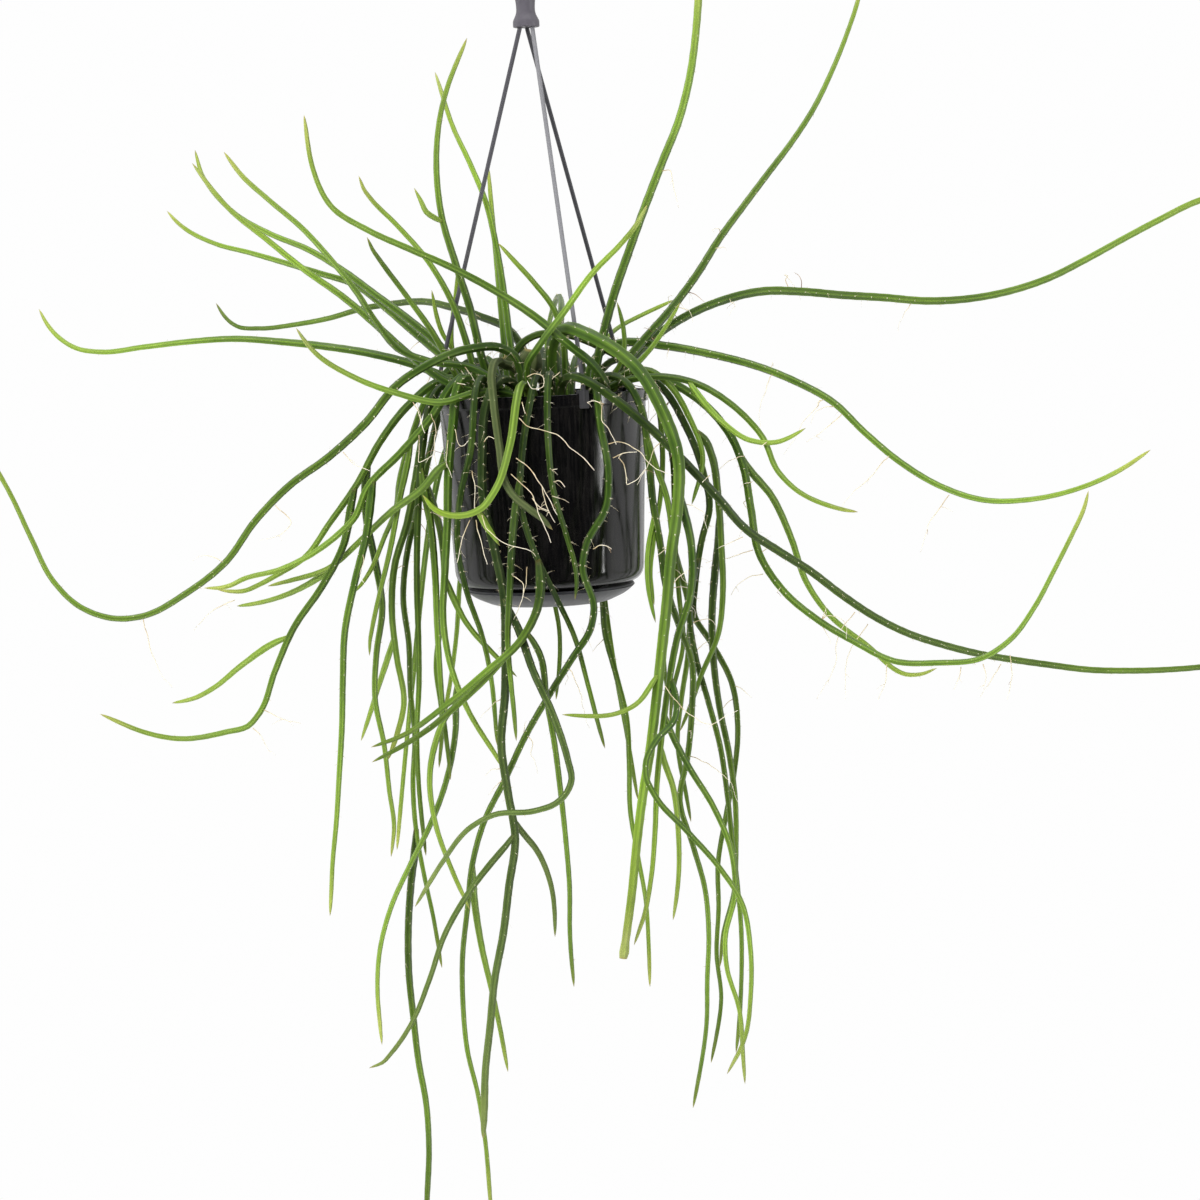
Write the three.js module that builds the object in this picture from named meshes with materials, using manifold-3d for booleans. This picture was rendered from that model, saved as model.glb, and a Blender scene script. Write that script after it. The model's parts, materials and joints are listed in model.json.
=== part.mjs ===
// A potted trailing cactus, Selenicereus wercklei, in a plastic hanging pot.
// Units are millimetres and +Z is up. The origin is the bearing point of the hook,
// straight above the pot's axis. +X is right in the front view and -Y is the front.

import * as THREE from 'three';
import { mergeVertices } from 'three/addons/utils/BufferGeometryUtils.js';
import Module from 'manifold-3d';

const wasm = await Module();
wasm.setup();

// Driving dimensions of the pot
const RIM_TOP = -252;
const RIM_RADIUS = 60;
const RIM_BAND = 7;
const RIM_STEP = 1.2;
const POT_HEIGHT = 118;
const POT_WALL = 1.8;
const POT_LOWER_RADIUS = 54;
const CORNER_START = 98;
const CORNER_END = 107;
const POT_BASE_RADIUS = 48.5;
const FOOT_RADIUS = 30;
const FOOT_WIDTH = 4;
const FOOT_RISE = 9;
const FOOT_BEAD = 1;
const BEAD_HEIGHT = 1.8;
const EDGE_EASE = 0.8;
const DRAIN_COUNT = 4;
const DRAIN_RADIUS = 3;
const DRAIN_CIRCLE = 18;
const DRAIN_SIDES = 10;
const POT_SEGMENTS = 32;

// Driving dimensions of the saucer
const SAUCER_LIP_RADIUS = 48;
const SAUCER_LIP_DROP = 110;
const SAUCER_FLOOR_RADIUS = 33;
const SAUCER_WALL = 1.6;
const SNAP_RING_WALL = 1.4;

// Driving dimensions of the soil
const SOIL_DROP = 8;
const HOLE_DEPTH = 18;
const HOLE_GAP = 0.5;
const HOLE_SIDES = 6;
const COLLAR = 3;

// Driving dimensions of the hanger
const CAP_BOTTOM = -46;
const CAP_TOP = -25;
const CAP_LIP_RADIUS = 7.5;
const CAP_WAIST_RADIUS = 5.3;
const HOOK_INNER_RADIUS = 8;
const HOOK_ROD_RADIUS = 2.2;
const HOOK_START = -38;
const HOOK_END = 205;
const HOOK_STEPS = 18;
const STRAND_RADIUS = 1.25;
const STRAND_CIRCLE = 4;
const SOCKET_RADIUS = 1.65;
const SOCKET_DEPTH = 7;
const SOCKET_BEND = 0.03;
const SOCKET_SIDES = 8;
const CLIP_WIDTH = 5.5;
const CLIP_THICKNESS = 1.8;
const CLIP_REACH = 8;
const CLIP_LIP = 3;
const STRANDS = [
  { name: 'hanger_strand_left', clip: 173, socket: 207, tone: 'strandDark' },
  { name: 'hanger_strand_back', clip: 39, socket: 87, tone: 'strandDark' },
  { name: 'hanger_strand_front', clip: -67, socket: -33, tone: 'strandLight' },
];

// Shared clearances
const SEAT_GAP = 0.3;
const STEM_CLEARANCE = 1.7;

// Stem thickness over the ribs at the root end, and how thin most shoots get towards the tip
const STOUT = 9;
const WIDE = 7;
const FULL = 6;
const MEDIUM = 5.2;
const SLENDER = 4.2;
const THIN = 3.2;
const TIP_THICK = 2.6;
const TAPER_POWER = 1.1;

const STEM_SIDES = 5;
const TIP_LENGTH = 16;
const LONGEST_STEP = 27;
const SHORTEST_STEP = 6;
const RING_TURN = 0.44;

// How the shoots are kept apart
const CHAIN_STEP = 9;
const ARCH_LINKS = 12;
const ARCH_PASSES = 5;
const LINKS_LEFT_ALONE = 6;
const PUSH_SHARE = 0.4;
const EVENING = 0.35;
const DRAW_BACK = 0.02;
const ROOT_CIRCLE = 50;
const SPREAD_ROUNDS = 320;
const ROOT_HOLD = 0.12;

// The front view that the stem routes are read in. It is 1200 steps wide and high, and a step
// measures VIEW_STEP at the pot's axis. The eye stands in front, a little above the rim.
const VIEW_STEP = 0.574;
const VIEW_CENTRE = 600;
const VIEW_EYE = new THREE.Vector3(28, -1800, -200);
const VIEW_AIM = new THREE.Vector3(28, 0, -372);
const VIEW_LEAN = THREE.MathUtils.degToRad(2.4);

// Stems. A route point is [steps right, steps down, depth], where the depth is in millimetres
// behind the pot's axis and is left out where it runs evenly between its neighbours. root is the
// stem's place in the soil, [x, y] from the pot's axis. over is the height above the rim at which
// the stem crosses it, for a stem that hangs outside the pot. end is the thickness towards the tip
// of a shoot that doesn't get as thin as most.
const STEMS = [
  {
    name: 'stem_upper_left_01', tone: 'mid', thick: FULL, root: [-30, -17],
    route: [[481, 384, -21], [471, 311], [444, 230], [436, 153, -28], [446, 92], [467, 38, -62]],
    branches: [{ thick: SLENDER, route: [[436, 228, -30], [423, 207], [414, 188, -44]] }],
  },
  {
    name: 'stem_upper_left_02', tone: 'fresh', thick: MEDIUM, root: [-15, 8],
    route: [[509, 342, 8], [499, 258], [482, 191, 14], [454, 130], [435, 72, 48]],
  },
  {
    name: 'stem_upper_left_03', tone: 'mid', thick: MEDIUM, root: [-20, 20],
    route: [[504, 345, 20], [497, 268], [490, 191], [488, 165, 62]],
  },
  {
    name: 'stem_upper_left_04', tone: 'mid', thick: MEDIUM, root: [13, -8],
    route: [[562, 318, -10], [553, 300], [534, 283], [515, 262], [498, 243, -58]],
  },
  {
    name: 'stem_upper_left_05', tone: 'mid', thick: FULL, root: [35, -31],
    route: [
      [602, 379, -50], [588, 361, -61], [570, 342, -60], [553, 325, -56], [515, 300, -52], [486, 285],
      [429, 256, -64], [400, 245], [357, 224], [329, 204], [312, 166], [304, 115, -128],
    ],
  },
  {
    name: 'stem_upper_left_06', tone: 'mid', thick: MEDIUM, root: [-38, 4],
    route: [[467, 346, 4], [448, 290], [419, 247], [383, 212, 2], [365, 191], [359, 176, -8]],
  },
  {
    name: 'stem_upper_left_07', tone: 'old', thick: MEDIUM, root: [-42, -17],
    route: [[432, 330, -18], [400, 288], [377, 258], [367, 237, -46]],
  },
  {
    name: 'stem_upper_left_08', tone: 'mid', thick: FULL, root: [-42, 16],
    route: [
      [440, 345, 18], [400, 314], [357, 281, 44], [319, 255], [242, 219], [204, 179], [195, 150, 104],
    ],
  },
  {
    name: 'stem_upper_left_09', tone: 'fresh', thick: FULL, root: [-33, -27],
    route: [[400, 350, -36], [357, 306], [319, 281, -62], [255, 230], [225, 205], [192, 163, -96]],
  },
  {
    name: 'stem_upper_left_10', tone: 'mid', thick: MEDIUM, root: [-24, -36], over: 18,
    route: [[400, 360, -50], [378, 327], [357, 293, -88], [306, 232], [245, 179], [224, 152, -164]],
  },
  {
    name: 'stem_upper_left_11', tone: 'mid', thick: FULL, root: [-36, 30],
    route: [
      [430, 350, 34], [400, 322], [357, 286, 76], [319, 273], [230, 247], [204, 240], [179, 224],
      [167, 211, 156],
    ],
  },
  {
    name: 'stem_upper_left_12', tone: 'old', thick: FULL, root: [-8, 30],
    route: [
      [522, 332, 36], [476, 315, 58], [429, 302], [400, 303, 116], [357, 310], [319, 321],
      [281, 326, 168], [242, 328], [227, 319], [216, 303, 196],
    ],
  },
  {
    name: 'stem_upper_left_13', tone: 'mid', thick: FULL, root: [-46, 6],
    route: [
      [430, 368, -2], [400, 360], [370, 353, -8], [332, 347], [281, 342], [230, 339, 6], [178, 343],
      [127, 349], [84, 351], [53, 332], [39, 309, 30],
    ],
  },
  {
    name: 'stem_upper_left_14', tone: 'fresh', thick: MEDIUM, root: [-17, -42], over: 12,
    route: [[449, 408, -66], [415, 401, -76], [370, 383], [337, 370], [311, 349], [296, 328, -118]],
  },
  {
    name: 'stem_upper_left_15', tone: 'fresh', thick: THIN, root: [-46, 22],
    route: [[445, 350, 22], [456, 298], [458, 262, 26]],
    branches: [{ thick: THIN, route: [[444, 345, 22], [434, 322], [431, 290, 12]] }],
  },
  {
    name: 'stem_upper_right_01', tone: 'fresh', thick: MEDIUM, root: [-6, -33],
    route: [
      [515, 369, -36], [538, 348, -54], [553, 327, -68], [563, 315], [591, 275, -82], [620, 245, -96],
      [637, 224], [647, 205, -122],
    ],
  },
  {
    name: 'stem_upper_right_02', tone: 'mid', thick: FULL, end: 4.4, root: [32, -4],
    route: [
      [605, 330, -4], [630, 249], [645, 207], [658, 172, -26], [674, 134], [687, 90], [695, 38],
      [698, 0], [700, -42, -84],
    ],
  },
  {
    name: 'stem_upper_right_03', tone: 'mid', thick: FULL, root: [40, 6],
    route: [
      [641, 344, 6], [676, 306], [702, 268], [727, 227, 44], [753, 194], [779, 158], [804, 125],
      [835, 64], [858, 0], [864, -30, 132],
    ],
  },
  {
    name: 'stem_upper_right_04', tone: 'mid', thick: FULL, end: 4.2, root: [42, 16],
    route: [
      [641, 345, 20], [684, 316], [715, 301, 40], [753, 292], [791, 291], [842, 295, 78], [893, 298],
      [944, 301], [1017, 289, 112], [1055, 275], [1132, 234], [1200, 200], [1243, 189, 150],
    ],
  },
  {
    name: 'stem_upper_right_05', tone: 'mid', thick: FULL, root: [26, 20],
    route: [
      [600, 337, 22], [638, 342], [676, 347, 14], [715, 355], [753, 365, 2], [791, 380], [820, 392],
      [851, 420, -32], [889, 454], [927, 479], [966, 497], [1004, 501, -82], [1042, 498], [1081, 488],
      [1119, 471], [1151, 450, -124],
    ],
  },
  {
    name: 'stem_upper_right_06', tone: 'yellow', thick: THIN, root: [25, 30],
    route: [[604, 333, 40], [633, 319], [674, 300, 76]],
  },
  {
    name: 'stem_upper_right_07', tone: 'old', thick: SLENDER, root: [37, -5],
    route: [[640, 358, -8], [632, 342], [627, 319], [619, 301, -14]],
  },
  {
    name: 'stem_upper_right_08', tone: 'mid', thick: SLENDER, root: [45, -8],
    route: [[652, 361, -8], [662, 342], [674, 321], [684, 302, -20]],
  },
  {
    name: 'stem_upper_right_09', tone: 'mid', thick: MEDIUM, root: [38, -22],
    route: [
      [664, 370, -32], [702, 382, -42], [738, 405], [753, 421], [763, 438, -56], [781, 476], [790, 486],
      [813, 498], [836, 508], [858, 512, -108],
    ],
    branches: [
      {
        thick: SLENDER,
        route: [
          [692, 380, -40], [710, 400], [721, 427], [740, 440, -62], [753, 447], [770, 452], [785, 449],
          [800, 440], [806, 428, -72],
        ],
      },
    ],
  },
  {
    name: 'stem_upper_right_10', tone: 'old', thick: MEDIUM, root: [-16, -2],
    route: [
      [501, 353, -6], [511, 341], [526, 331, -2], [544, 326], [565, 331, 2], [588, 343], [612, 358, 6],
      [634, 376], [650, 404, 4], [659, 440], [661, 480, -2], [656, 525], [650, 565, -8],
      [654, 605, -10],
    ],
  },
  {
    name: 'stem_long_right_01', tone: 'mid', thick: FULL, root: [38, 22], over: 14,
    route: [
      [665, 378, 34], [692, 389, 38], [706, 399], [719, 415], [730, 434, 34], [740, 453], [745, 479],
      [750, 500, 26], [753, 532], [759, 553], [772, 576], [791, 599, 14], [815, 618], [839, 632],
      [873, 653, -14], [893, 661], [937, 663], [974, 660, -46], [994, 653], [1014, 635], [1031, 612],
      [1051, 575, -86], [1071, 535], [1083, 509], [1088, 490, -108],
    ],
    branches: [
      {
        thick: MEDIUM,
        route: [
          [743, 462, 33], [752, 475, 42], [770, 492], [787, 515], [794, 541, 48], [797, 570],
          [807, 591], [824, 610, 40], [850, 632], [873, 650, 30], [891, 665], [905, 674], [922, 674],
          [937, 668, 26],
        ],
      },
    ],
  },
  {
    name: 'stem_long_right_02', tone: 'old', thick: FULL, end: 3.8, root: [12, -42], over: 14,
    route: [
      [575, 372, -66], [600, 386, -70], [625, 406], [651, 429, -64], [671, 447], [689, 467],
      [708, 486, -52], [743, 527], [775, 549, -20], [807, 569], [850, 601], [893, 627, 28], [937, 643],
      [980, 654], [1037, 663, 82], [1094, 670], [1152, 670], [1200, 667], [1260, 655, 130],
    ],
  },
  {
    name: 'stem_stout_cut', tone: 'fresh', thick: STOUT, end: 5, root: [8, -15],
    route: [
      [549, 347, -23], [563, 331, -45], [580, 333, -63], [600, 344, -69], [619, 354], [638, 371, -68],
      [654, 396, -69], [664, 415], [673, 435], [678, 460, -72], [678, 500], [673, 532], [669, 580, -74],
      [664, 628], [656, 707], [651, 750, -78], [640, 815], [632, 891], [623, 959, -82],
    ],
    blunt: true,
    branches: [
      {
        thick: MEDIUM,
        route: [
          [678, 492, -72], [686, 512, -64], [691, 540], [696, 572], [692, 604, -56], [680, 624],
          [672, 640], [667, 691, -62], [661, 738], [657, 776], [656, 815, -66], [652, 863], [648, 901],
          [634, 945, -70],
        ],
        branches: [
          {
            thick: SLENDER,
            route: [
              [669, 680, -60], [676, 701], [688, 718], [684, 726], [665, 732, -76], [646, 738],
              [637, 767], [639, 786, -90], [649, 798], [672, 815], [693, 838, -84], [718, 866],
              [734, 886], [745, 914, -74], [751, 958], [751, 976], [749, 1018, -66], [743, 1043],
              [727, 1074, -60],
            ],
          },
          {
            thick: SLENDER,
            route: [
              [664, 715, -64], [669, 734, -54], [684, 761], [703, 790, -50], [722, 819], [732, 843],
              [736, 882, -44], [724, 954], [734, 986], [740, 1015, -40], [742, 1043], [745, 1084, -36],
            ],
          },
          {
            thick: SLENDER,
            route: [
              [659, 750, -64], [668, 767, -52], [676, 786], [678, 824, -48], [680, 863], [679, 891],
              [673, 920, -44],
            ],
          },
        ],
      },
      {
        thick: THIN,
        route: [
          [660, 668, -75], [654, 690, -84], [646, 706], [630, 718, -92], [613, 722], [598, 722],
          [579, 716], [562, 715, -98],
        ],
      },
    ],
  },
  {
    name: 'stem_hanging_right_01', tone: 'old', thick: MEDIUM, root: [40, -14], over: 15,
    route: [
      [657, 361, -30], [671, 379, -36], [683, 402], [694, 421, -36], [702, 440], [703, 466],
      [699, 482, -32], [692, 505, -26],
    ],
    branches: [
      {
        thick: MEDIUM,
        route: [
          [699, 430, -36], [706, 436, -28], [715, 453], [719, 472, -20], [718, 500], [721, 540],
          [723, 572, -12], [723, 596], [721, 612], [718, 635, -8], [704, 667], [696, 691],
          [680, 731, -4],
        ],
        branches: [
          {
            thick: MEDIUM,
            route: [
              [720, 530, -14], [716, 556, -2], [713, 596], [710, 628, 4], [712, 651], [715, 683],
              [721, 715, 8], [728, 748], [734, 786], [736, 834, 10], [734, 891], [724, 929],
              [720, 967, 12],
            ],
          },
        ],
      },
    ],
  },
  {
    name: 'stem_hanging_right_02', tone: 'old', thick: MEDIUM, root: [40, 10], over: 16,
    route: [
      [668, 385, 14], [690, 430, 16], [706, 480, 18], [710, 508], [702, 540, 16], [697, 575],
      [694, 615, 20], [704, 632], [715, 648], [726, 667, 24], [734, 691], [738, 729], [735, 767, 28],
      [730, 800], [719, 850], [719, 900, 30], [717, 976], [722, 1005], [717, 1034], [711, 1063, 26],
    ],
    branches: [
      {
        thick: SLENDER,
        route: [
          [698, 560, 16], [688, 600, 6], [686, 628], [692, 651, 0], [702, 679], [710, 707],
          [718, 738, -6], [726, 776], [728, 815], [734, 853, -12], [742, 948], [741, 986], [739, 1024],
          [736, 1053, -20],
        ],
      },
    ],
  },
  {
    name: 'stem_hanging_right_03', tone: 'old', thick: MEDIUM, root: [32, -28], over: 14,
    route: [
      [646, 405, -50], [648, 440, -52], [650, 472], [653, 500], [656, 524, -54], [661, 548],
      [664, 575, -56], [672, 610], [690, 650, -40], [690, 740], [680, 805, -30], [692, 843],
      [703, 878, -26], [708, 920], [709, 948], [707, 986, -20], [707, 1018], [703, 1053], [698, 1082],
      [693, 1108, -14],
    ],
    branches: [
      {
        thick: SLENDER,
        route: [
          [653, 500, -52], [651, 540, -58], [645, 564], [645, 583, -60], [649, 604], [657, 623, -60],
        ],
      },
      {
        thick: SLENDER,
        route: [
          [648, 445, -52], [662, 474, -60], [672, 512], [675, 552, -64], [668, 602], [664, 652, -62],
          [669, 700, -58],
        ],
      },
    ],
  },
  {
    name: 'stem_hanging_right_04', tone: 'old', thick: MEDIUM, root: [31, 29], over: 25,
    route: [
      [666, 420, 48], [674, 500, 48], [676, 572, 44], [680, 604], [683, 635, 40], [681, 667],
      [673, 691], [670, 723, 36],
    ],
    branches: [
      {
        thick: SLENDER,
        route: [
          [675, 555, 46], [688, 590, 52], [692, 632], [684, 682, 56], [677, 732], [684, 782, 52],
          [691, 822, 50],
        ],
      },
    ],
  },
  {
    name: 'stem_hanging_back_01', tone: 'mid', thick: MEDIUM, root: [17, 36], over: 27,
    route: [
      [590, 420, 72], [598, 520, 76], [603, 603, 66], [605, 632, 56], [612, 660], [622, 695],
      [628, 727, 36], [630, 796], [632, 830, 24], [642, 872], [646, 901], [649, 949], [650, 987, 10],
    ],
  },
  {
    name: 'stem_long_left_01', tone: 'mid', thick: FULL, root: [-12, -22],
    route: [
      [515, 349, -26], [476, 346, -42], [452, 351], [425, 364, -62], [396, 386], [370, 418, -72],
      [339, 449], [301, 476], [273, 501, -82], [244, 535], [224, 564], [201, 584, -92], [172, 601],
      [143, 616], [120, 619, -98], [86, 610], [60, 590], [37, 550, -112], [17, 507], [0, 475],
      [-22, 440, -128],
    ],
  },
  {
    name: 'stem_hanging_left_01', tone: 'mid', thick: FULL, root: [-41, -3], over: 16,
    route: [
      [408, 405, -14], [389, 422], [376, 444, -18], [366, 466], [353, 491], [336, 515, -22], [323, 532],
      [313, 548], [301, 561], [273, 577, -26], [244, 591], [218, 590, -10],
    ],
    branches: [
      {
        thick: MEDIUM,
        route: [
          [353, 491, -20], [349, 515, -30], [345, 545], [337, 575], [325, 587, -40], [313, 597],
          [300, 611], [288, 634, -46], [281, 653], [270, 685, -50], [261, 710], [248, 726],
          [230, 731, -62], [201, 736], [172, 739], [143, 732], [100, 714, -96],
        ],
        branches: [
          {
            thick: SLENDER,
            route: [
              [288, 634, -46], [267, 650, -40], [247, 659], [230, 673], [207, 696, -18], [187, 705],
              [172, 703, -6],
            ],
          },
        ],
      },
      {
        thick: MEDIUM,
        route: [
          [366, 466, -18], [362, 506, -8], [366, 529], [372, 551, -4], [379, 579], [386, 602, 0],
          [384, 628], [377, 648, 2], [375, 666], [375, 700, 4], [382, 729], [386, 767], [390, 796, 6],
          [394, 824], [391, 857, 8],
        ],
      },
    ],
  },
  {
    name: 'stem_hanging_left_02', tone: 'mid', thick: FULL, root: [-40, -18], over: 15,
    route: [
      [434, 410, -44], [412, 450, -46], [396, 456], [383, 466, -50], [371, 482], [360, 500],
      [351, 523, -56], [332, 538], [315, 551], [287, 568, -74], [267, 571], [247, 577], [227, 587],
      [204, 588, -104],
    ],
    branches: [
      {
        thick: MEDIUM,
        route: [
          [371, 482, -51], [368, 515, -58], [366, 551, -60], [359, 568], [351, 592], [345, 615, -58],
          [342, 640], [343, 700], [341, 738, -54], [339, 776], [337, 815], [333, 843], [332, 872],
          [330, 916, -50],
        ],
      },
      {
        thick: SLENDER,
        route: [
          [410, 451, -46], [401, 482, -42], [393, 517], [389, 552, -38], [381, 587], [371, 622, -34],
          [369, 656, -32],
        ],
      },
    ],
  },
  {
    name: 'stem_hanging_left_03', tone: 'mid', thick: MEDIUM, root: [-38, 12], over: 17,
    route: [
      [424, 396, 12], [410, 440, 8], [400, 470, 2], [398, 498, -8], [394, 515, -18], [387, 532, -28],
      [381, 547], [375, 562, -40], [366, 579], [352, 595, -46],
    ],
  },
  {
    name: 'stem_hanging_left_04', tone: 'mid', thick: FULL, end: 3.4, root: [-35, 23], over: 24,
    route: [
      [430, 400, 36], [417, 470, 34], [411, 513, 30], [398, 545], [394, 576, 28], [392, 608],
      [394, 640], [401, 679, 24], [404, 705], [396, 738], [388, 760, 18],
    ],
    branches: [
      {
        thick: SLENDER,
        route: [
          [393, 640, 27], [387, 662, 36], [376, 691], [372, 710], [361, 741, 44],
        ],
      },
    ],
  },
  {
    name: 'stem_hanging_left_05', tone: 'old', thick: MEDIUM, root: [-26, 33], over: 27,
    route: [
      [442, 400, 54], [424, 480, 52], [410, 542, 46], [403, 576], [405, 615], [410, 653, 40],
      [411, 700], [415, 738, 34], [413, 776], [415, 815], [419, 853, 28], [426, 882], [434, 920],
      [442, 968, 20],
    ],
    branches: [
      {
        thick: MEDIUM,
        end: 3.6,
        route: [
          [417, 835, 30], [411, 868, 38], [410, 900], [407, 938], [408, 976, 42], [413, 1015],
          [417, 1053], [424, 1091, 40], [429, 1130], [428, 1168], [426, 1225, 36],
        ],
      },
      {
        thick: MEDIUM,
        route: [
          [424, 480, 52], [440, 522, 60], [446, 570], [441, 622, 64], [436, 670], [442, 722, 60],
          [439, 768, 56],
        ],
      },
    ],
  },
  {
    name: 'stem_hanging_left_06', tone: 'old', thick: MEDIUM, root: [-43, -8], over: 15,
    route: [
      [428, 402, -32], [421, 460, -36], [418, 519, -36], [417, 551], [417, 589], [418, 628, -34],
      [420, 666], [418, 700, -30], [417, 745], [420, 800, -26], [426, 856, -24],
    ],
    branches: [
      {
        thick: MEDIUM,
        route: [
          [420, 475, -36], [429, 504, -42], [433, 540], [436, 578, -46], [438, 640], [445, 690, -46],
          [452, 735], [455, 780, -42],
        ],
      },
    ],
  },
  {
    name: 'stem_hanging_left_07', tone: 'mid', thick: WIDE, root: [-34, -34],
    route: [
      [468, 370, -38], [461, 363, -46], [456, 368, -53], [454, 380, -56], [453, 403, -58], [451, 451],
      [446, 489, -58], [447, 519], [445, 557], [444, 602, -58], [443, 628], [448, 656], [459, 691, -52],
      [476, 725], [491, 748], [510, 778, -40],
    ],
    branches: [
      {
        thick: MEDIUM,
        route: [
          [452, 449, -60], [443, 469, -66], [431, 486, -62], [418, 497, -54], [400, 504],
          [385, 515, -38], [370, 531], [356, 547, -28], [345, 557], [332, 566, -22], [313, 575],
          [300, 578], [268, 586, -4],
        ],
        branches: [
          {
            thick: SLENDER,
            route: [
              [340, 561, -24], [318, 580, -12], [298, 591], [273, 600], [250, 606], [237, 606, 34],
            ],
          },
        ],
      },
      {
        thick: SLENDER,
        route: [
          [445, 578, -58], [450, 600, -49], [458, 617], [472, 635, -44], [487, 650], [501, 661, -42],
          [517, 677, -42],
        ],
      },
      {
        thick: SLENDER,
        route: [
          [458, 688, -53], [447, 702, -44], [453, 729], [451, 757, -38], [442, 796], [434, 819],
          [419, 849, -32], [403, 878], [390, 910], [382, 938, -28], [377, 976], [379, 1015],
          [382, 1045, -24],
        ],
        branches: [
          {
            thick: SLENDER,
            route: [
              [448, 704, -44], [432, 744, -54], [426, 767], [427, 796], [434, 824, -60], [443, 853],
              [457, 882], [470, 910, -66],
            ],
          },
        ],
      },
    ],
  },
  {
    name: 'stem_front_01', tone: 'yellow', thick: FULL, end: 3.6, root: [-7, -41], over: 11,
    route: [
      [522, 374, -66], [519, 399, -74], [513, 422], [511, 451, -78], [509, 470], [501, 485, -82],
      [488, 502], [475, 513], [457, 516, -86], [440, 513], [431, 506], [423, 495, -88],
    ],
    branches: [
      { thick: MEDIUM, route: [[476, 511, -83], [484, 520, -80], [492, 532], [500, 546, -72]] },
    ],
  },
  {
    name: 'stem_front_02', tone: 'old', thick: MEDIUM, root: [6, -35],
    route: [
      [554, 368, -42], [550, 363, -52], [547, 370, -62], [547, 385, -66], [547, 403, -66], [547, 441],
      [553, 489], [563, 522, -66], [572, 557], [577, 575], [575, 600, -64],
    ],
  },
  {
    name: 'stem_front_03', tone: 'mid', thick: MEDIUM, root: [24, -36], over: 13,
    route: [
      [586, 386, -62], [589, 409, -66], [595, 432], [608, 453], [612, 476, -68], [608, 499], [599, 518],
      [588, 540, -70], [582, 562], [588, 587], [594, 610, -68], [587, 637], [572, 658], [553, 689, -62],
      [534, 718], [520, 748], [499, 792, -52], [484, 822], [474, 853], [470, 891, -44], [466, 920],
      [462, 967], [463, 1005, -40], [466, 1043], [474, 1078], [482, 1114, -44], [486, 1149],
      [492, 1222, -50],
    ],
    branches: [
      {
        thick: MEDIUM,
        route: [
          [472, 866, -48], [470, 880, -36], [476, 910], [478, 938, -28], [486, 967], [491, 986],
          [499, 1024, -22], [508, 1072, -18],
        ],
      },
    ],
  },
  {
    name: 'stem_front_04', tone: 'grey', thick: FULL, end: 4.6, root: [-15, -33], over: 12,
    route: [
      [481, 392, -58], [480, 416, -60], [480, 448], [481, 478, -60], [483, 505], [488, 530, -61],
      [496, 556], [502, 580, -64], [504, 603], [505, 641], [505, 689, -68], [501, 738], [503, 776],
      [514, 815, -68], [514, 853], [508, 891], [504, 929, -66], [497, 957], [493, 996],
      [489, 1034, -64], [485, 1072], [484, 1110], [483, 1139, -62],
    ],
    branches: [
      {
        thick: MEDIUM,
        route: [
          [508, 607, -70], [517, 626, -82], [530, 666], [542, 691, -90], [551, 710], [564, 738],
          [572, 767, -92], [570, 786], [562, 799], [545, 809, -92], [524, 812], [503, 813],
          [478, 822, -90], [457, 842], [442, 863], [430, 882, -84], [415, 907, -80],
        ],
      },
      {
        thick: SLENDER,
        route: [
          [513, 822, -68], [521, 832, -56], [535, 843], [549, 863], [554, 887, -48], [557, 910],
          [555, 937, -44],
        ],
      },
      {
        thick: SLENDER,
        route: [
          [513, 836, -68], [504, 850, -78], [491, 864], [472, 886], [457, 907, -82], [440, 938],
          [432, 973], [417, 1013, -78], [399, 1042], [382, 1063], [369, 1068, -74],
        ],
      },
    ],
  },
  {
    name: 'stem_front_05', tone: 'old', thick: MEDIUM, root: [-28, -39],
    route: [
      [483, 374, -46], [478, 368, -54], [474, 376, -62], [471, 398, -67], [473, 422, -68], [476, 446],
      [470, 466, -67], [462, 490], [458, 512, -65], [457, 536], [460, 562, -63], [468, 596],
      [481, 632, -62], [489, 664], [494, 702, -58], [497, 745, -54],
    ],
  },
  {
    name: 'stem_front_06', tone: 'old', thick: MEDIUM, root: [0, -26], over: 14,
    route: [
      [530, 392, -66], [524, 430, -68], [519, 479, -69], [521, 507], [530, 540, -68], [542, 569],
      [559, 603, -66], [576, 641], [589, 689], [599, 727, -58], [605, 749, -54],
    ],
    branches: [
      {
        thick: MEDIUM,
        route: [
          [519, 482, -69], [514, 504, -73], [512, 530], [511, 556, -75], [512, 585], [511, 612, -75],
          [509, 640], [511, 670, -74], [514, 702], [517, 740, -70],
        ],
      },
      {
        thick: FULL,
        route: [
          [540, 565, -68], [541, 585, -78], [542, 603], [534, 632, -84], [515, 653], [486, 670],
          [463, 691, -92], [429, 718], [405, 734], [371, 747, -100],
        ],
        branches: [
          {
            thick: SLENDER,
            route: [
              [534, 634, -84], [541, 660, -78], [543, 685], [549, 715, -74], [556, 748], [560, 786],
              [564, 824, -70], [568, 863], [570, 901], [570, 939, -64], [574, 987, -60],
            ],
          },
          {
            thick: MEDIUM,
            route: [
              [503, 661, -86], [485, 681, -80], [466, 698], [447, 714, -80], [430, 731], [405, 747],
              [372, 762, -88],
            ],
          },
        ],
      },
    ],
  },
  {
    name: 'stem_back_01', tone: 'old', thick: MEDIUM, root: [1, 37], over: 31,
    route: [[545, 420, 76], [540, 500, 80], [548, 570, 78], [560, 640, 70], [556, 700, 60]],
  },
  {
    name: 'stem_back_02', tone: 'mid', thick: MEDIUM, root: [-17, 38], over: 33,
    route: [[497, 400, 84], [478, 470, 96], [462, 560, 98], [455, 650, 90], [440, 740, 80]],
  },
  {
    name: 'stem_back_03', tone: 'mid', thick: MEDIUM, root: [8, 24],
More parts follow.
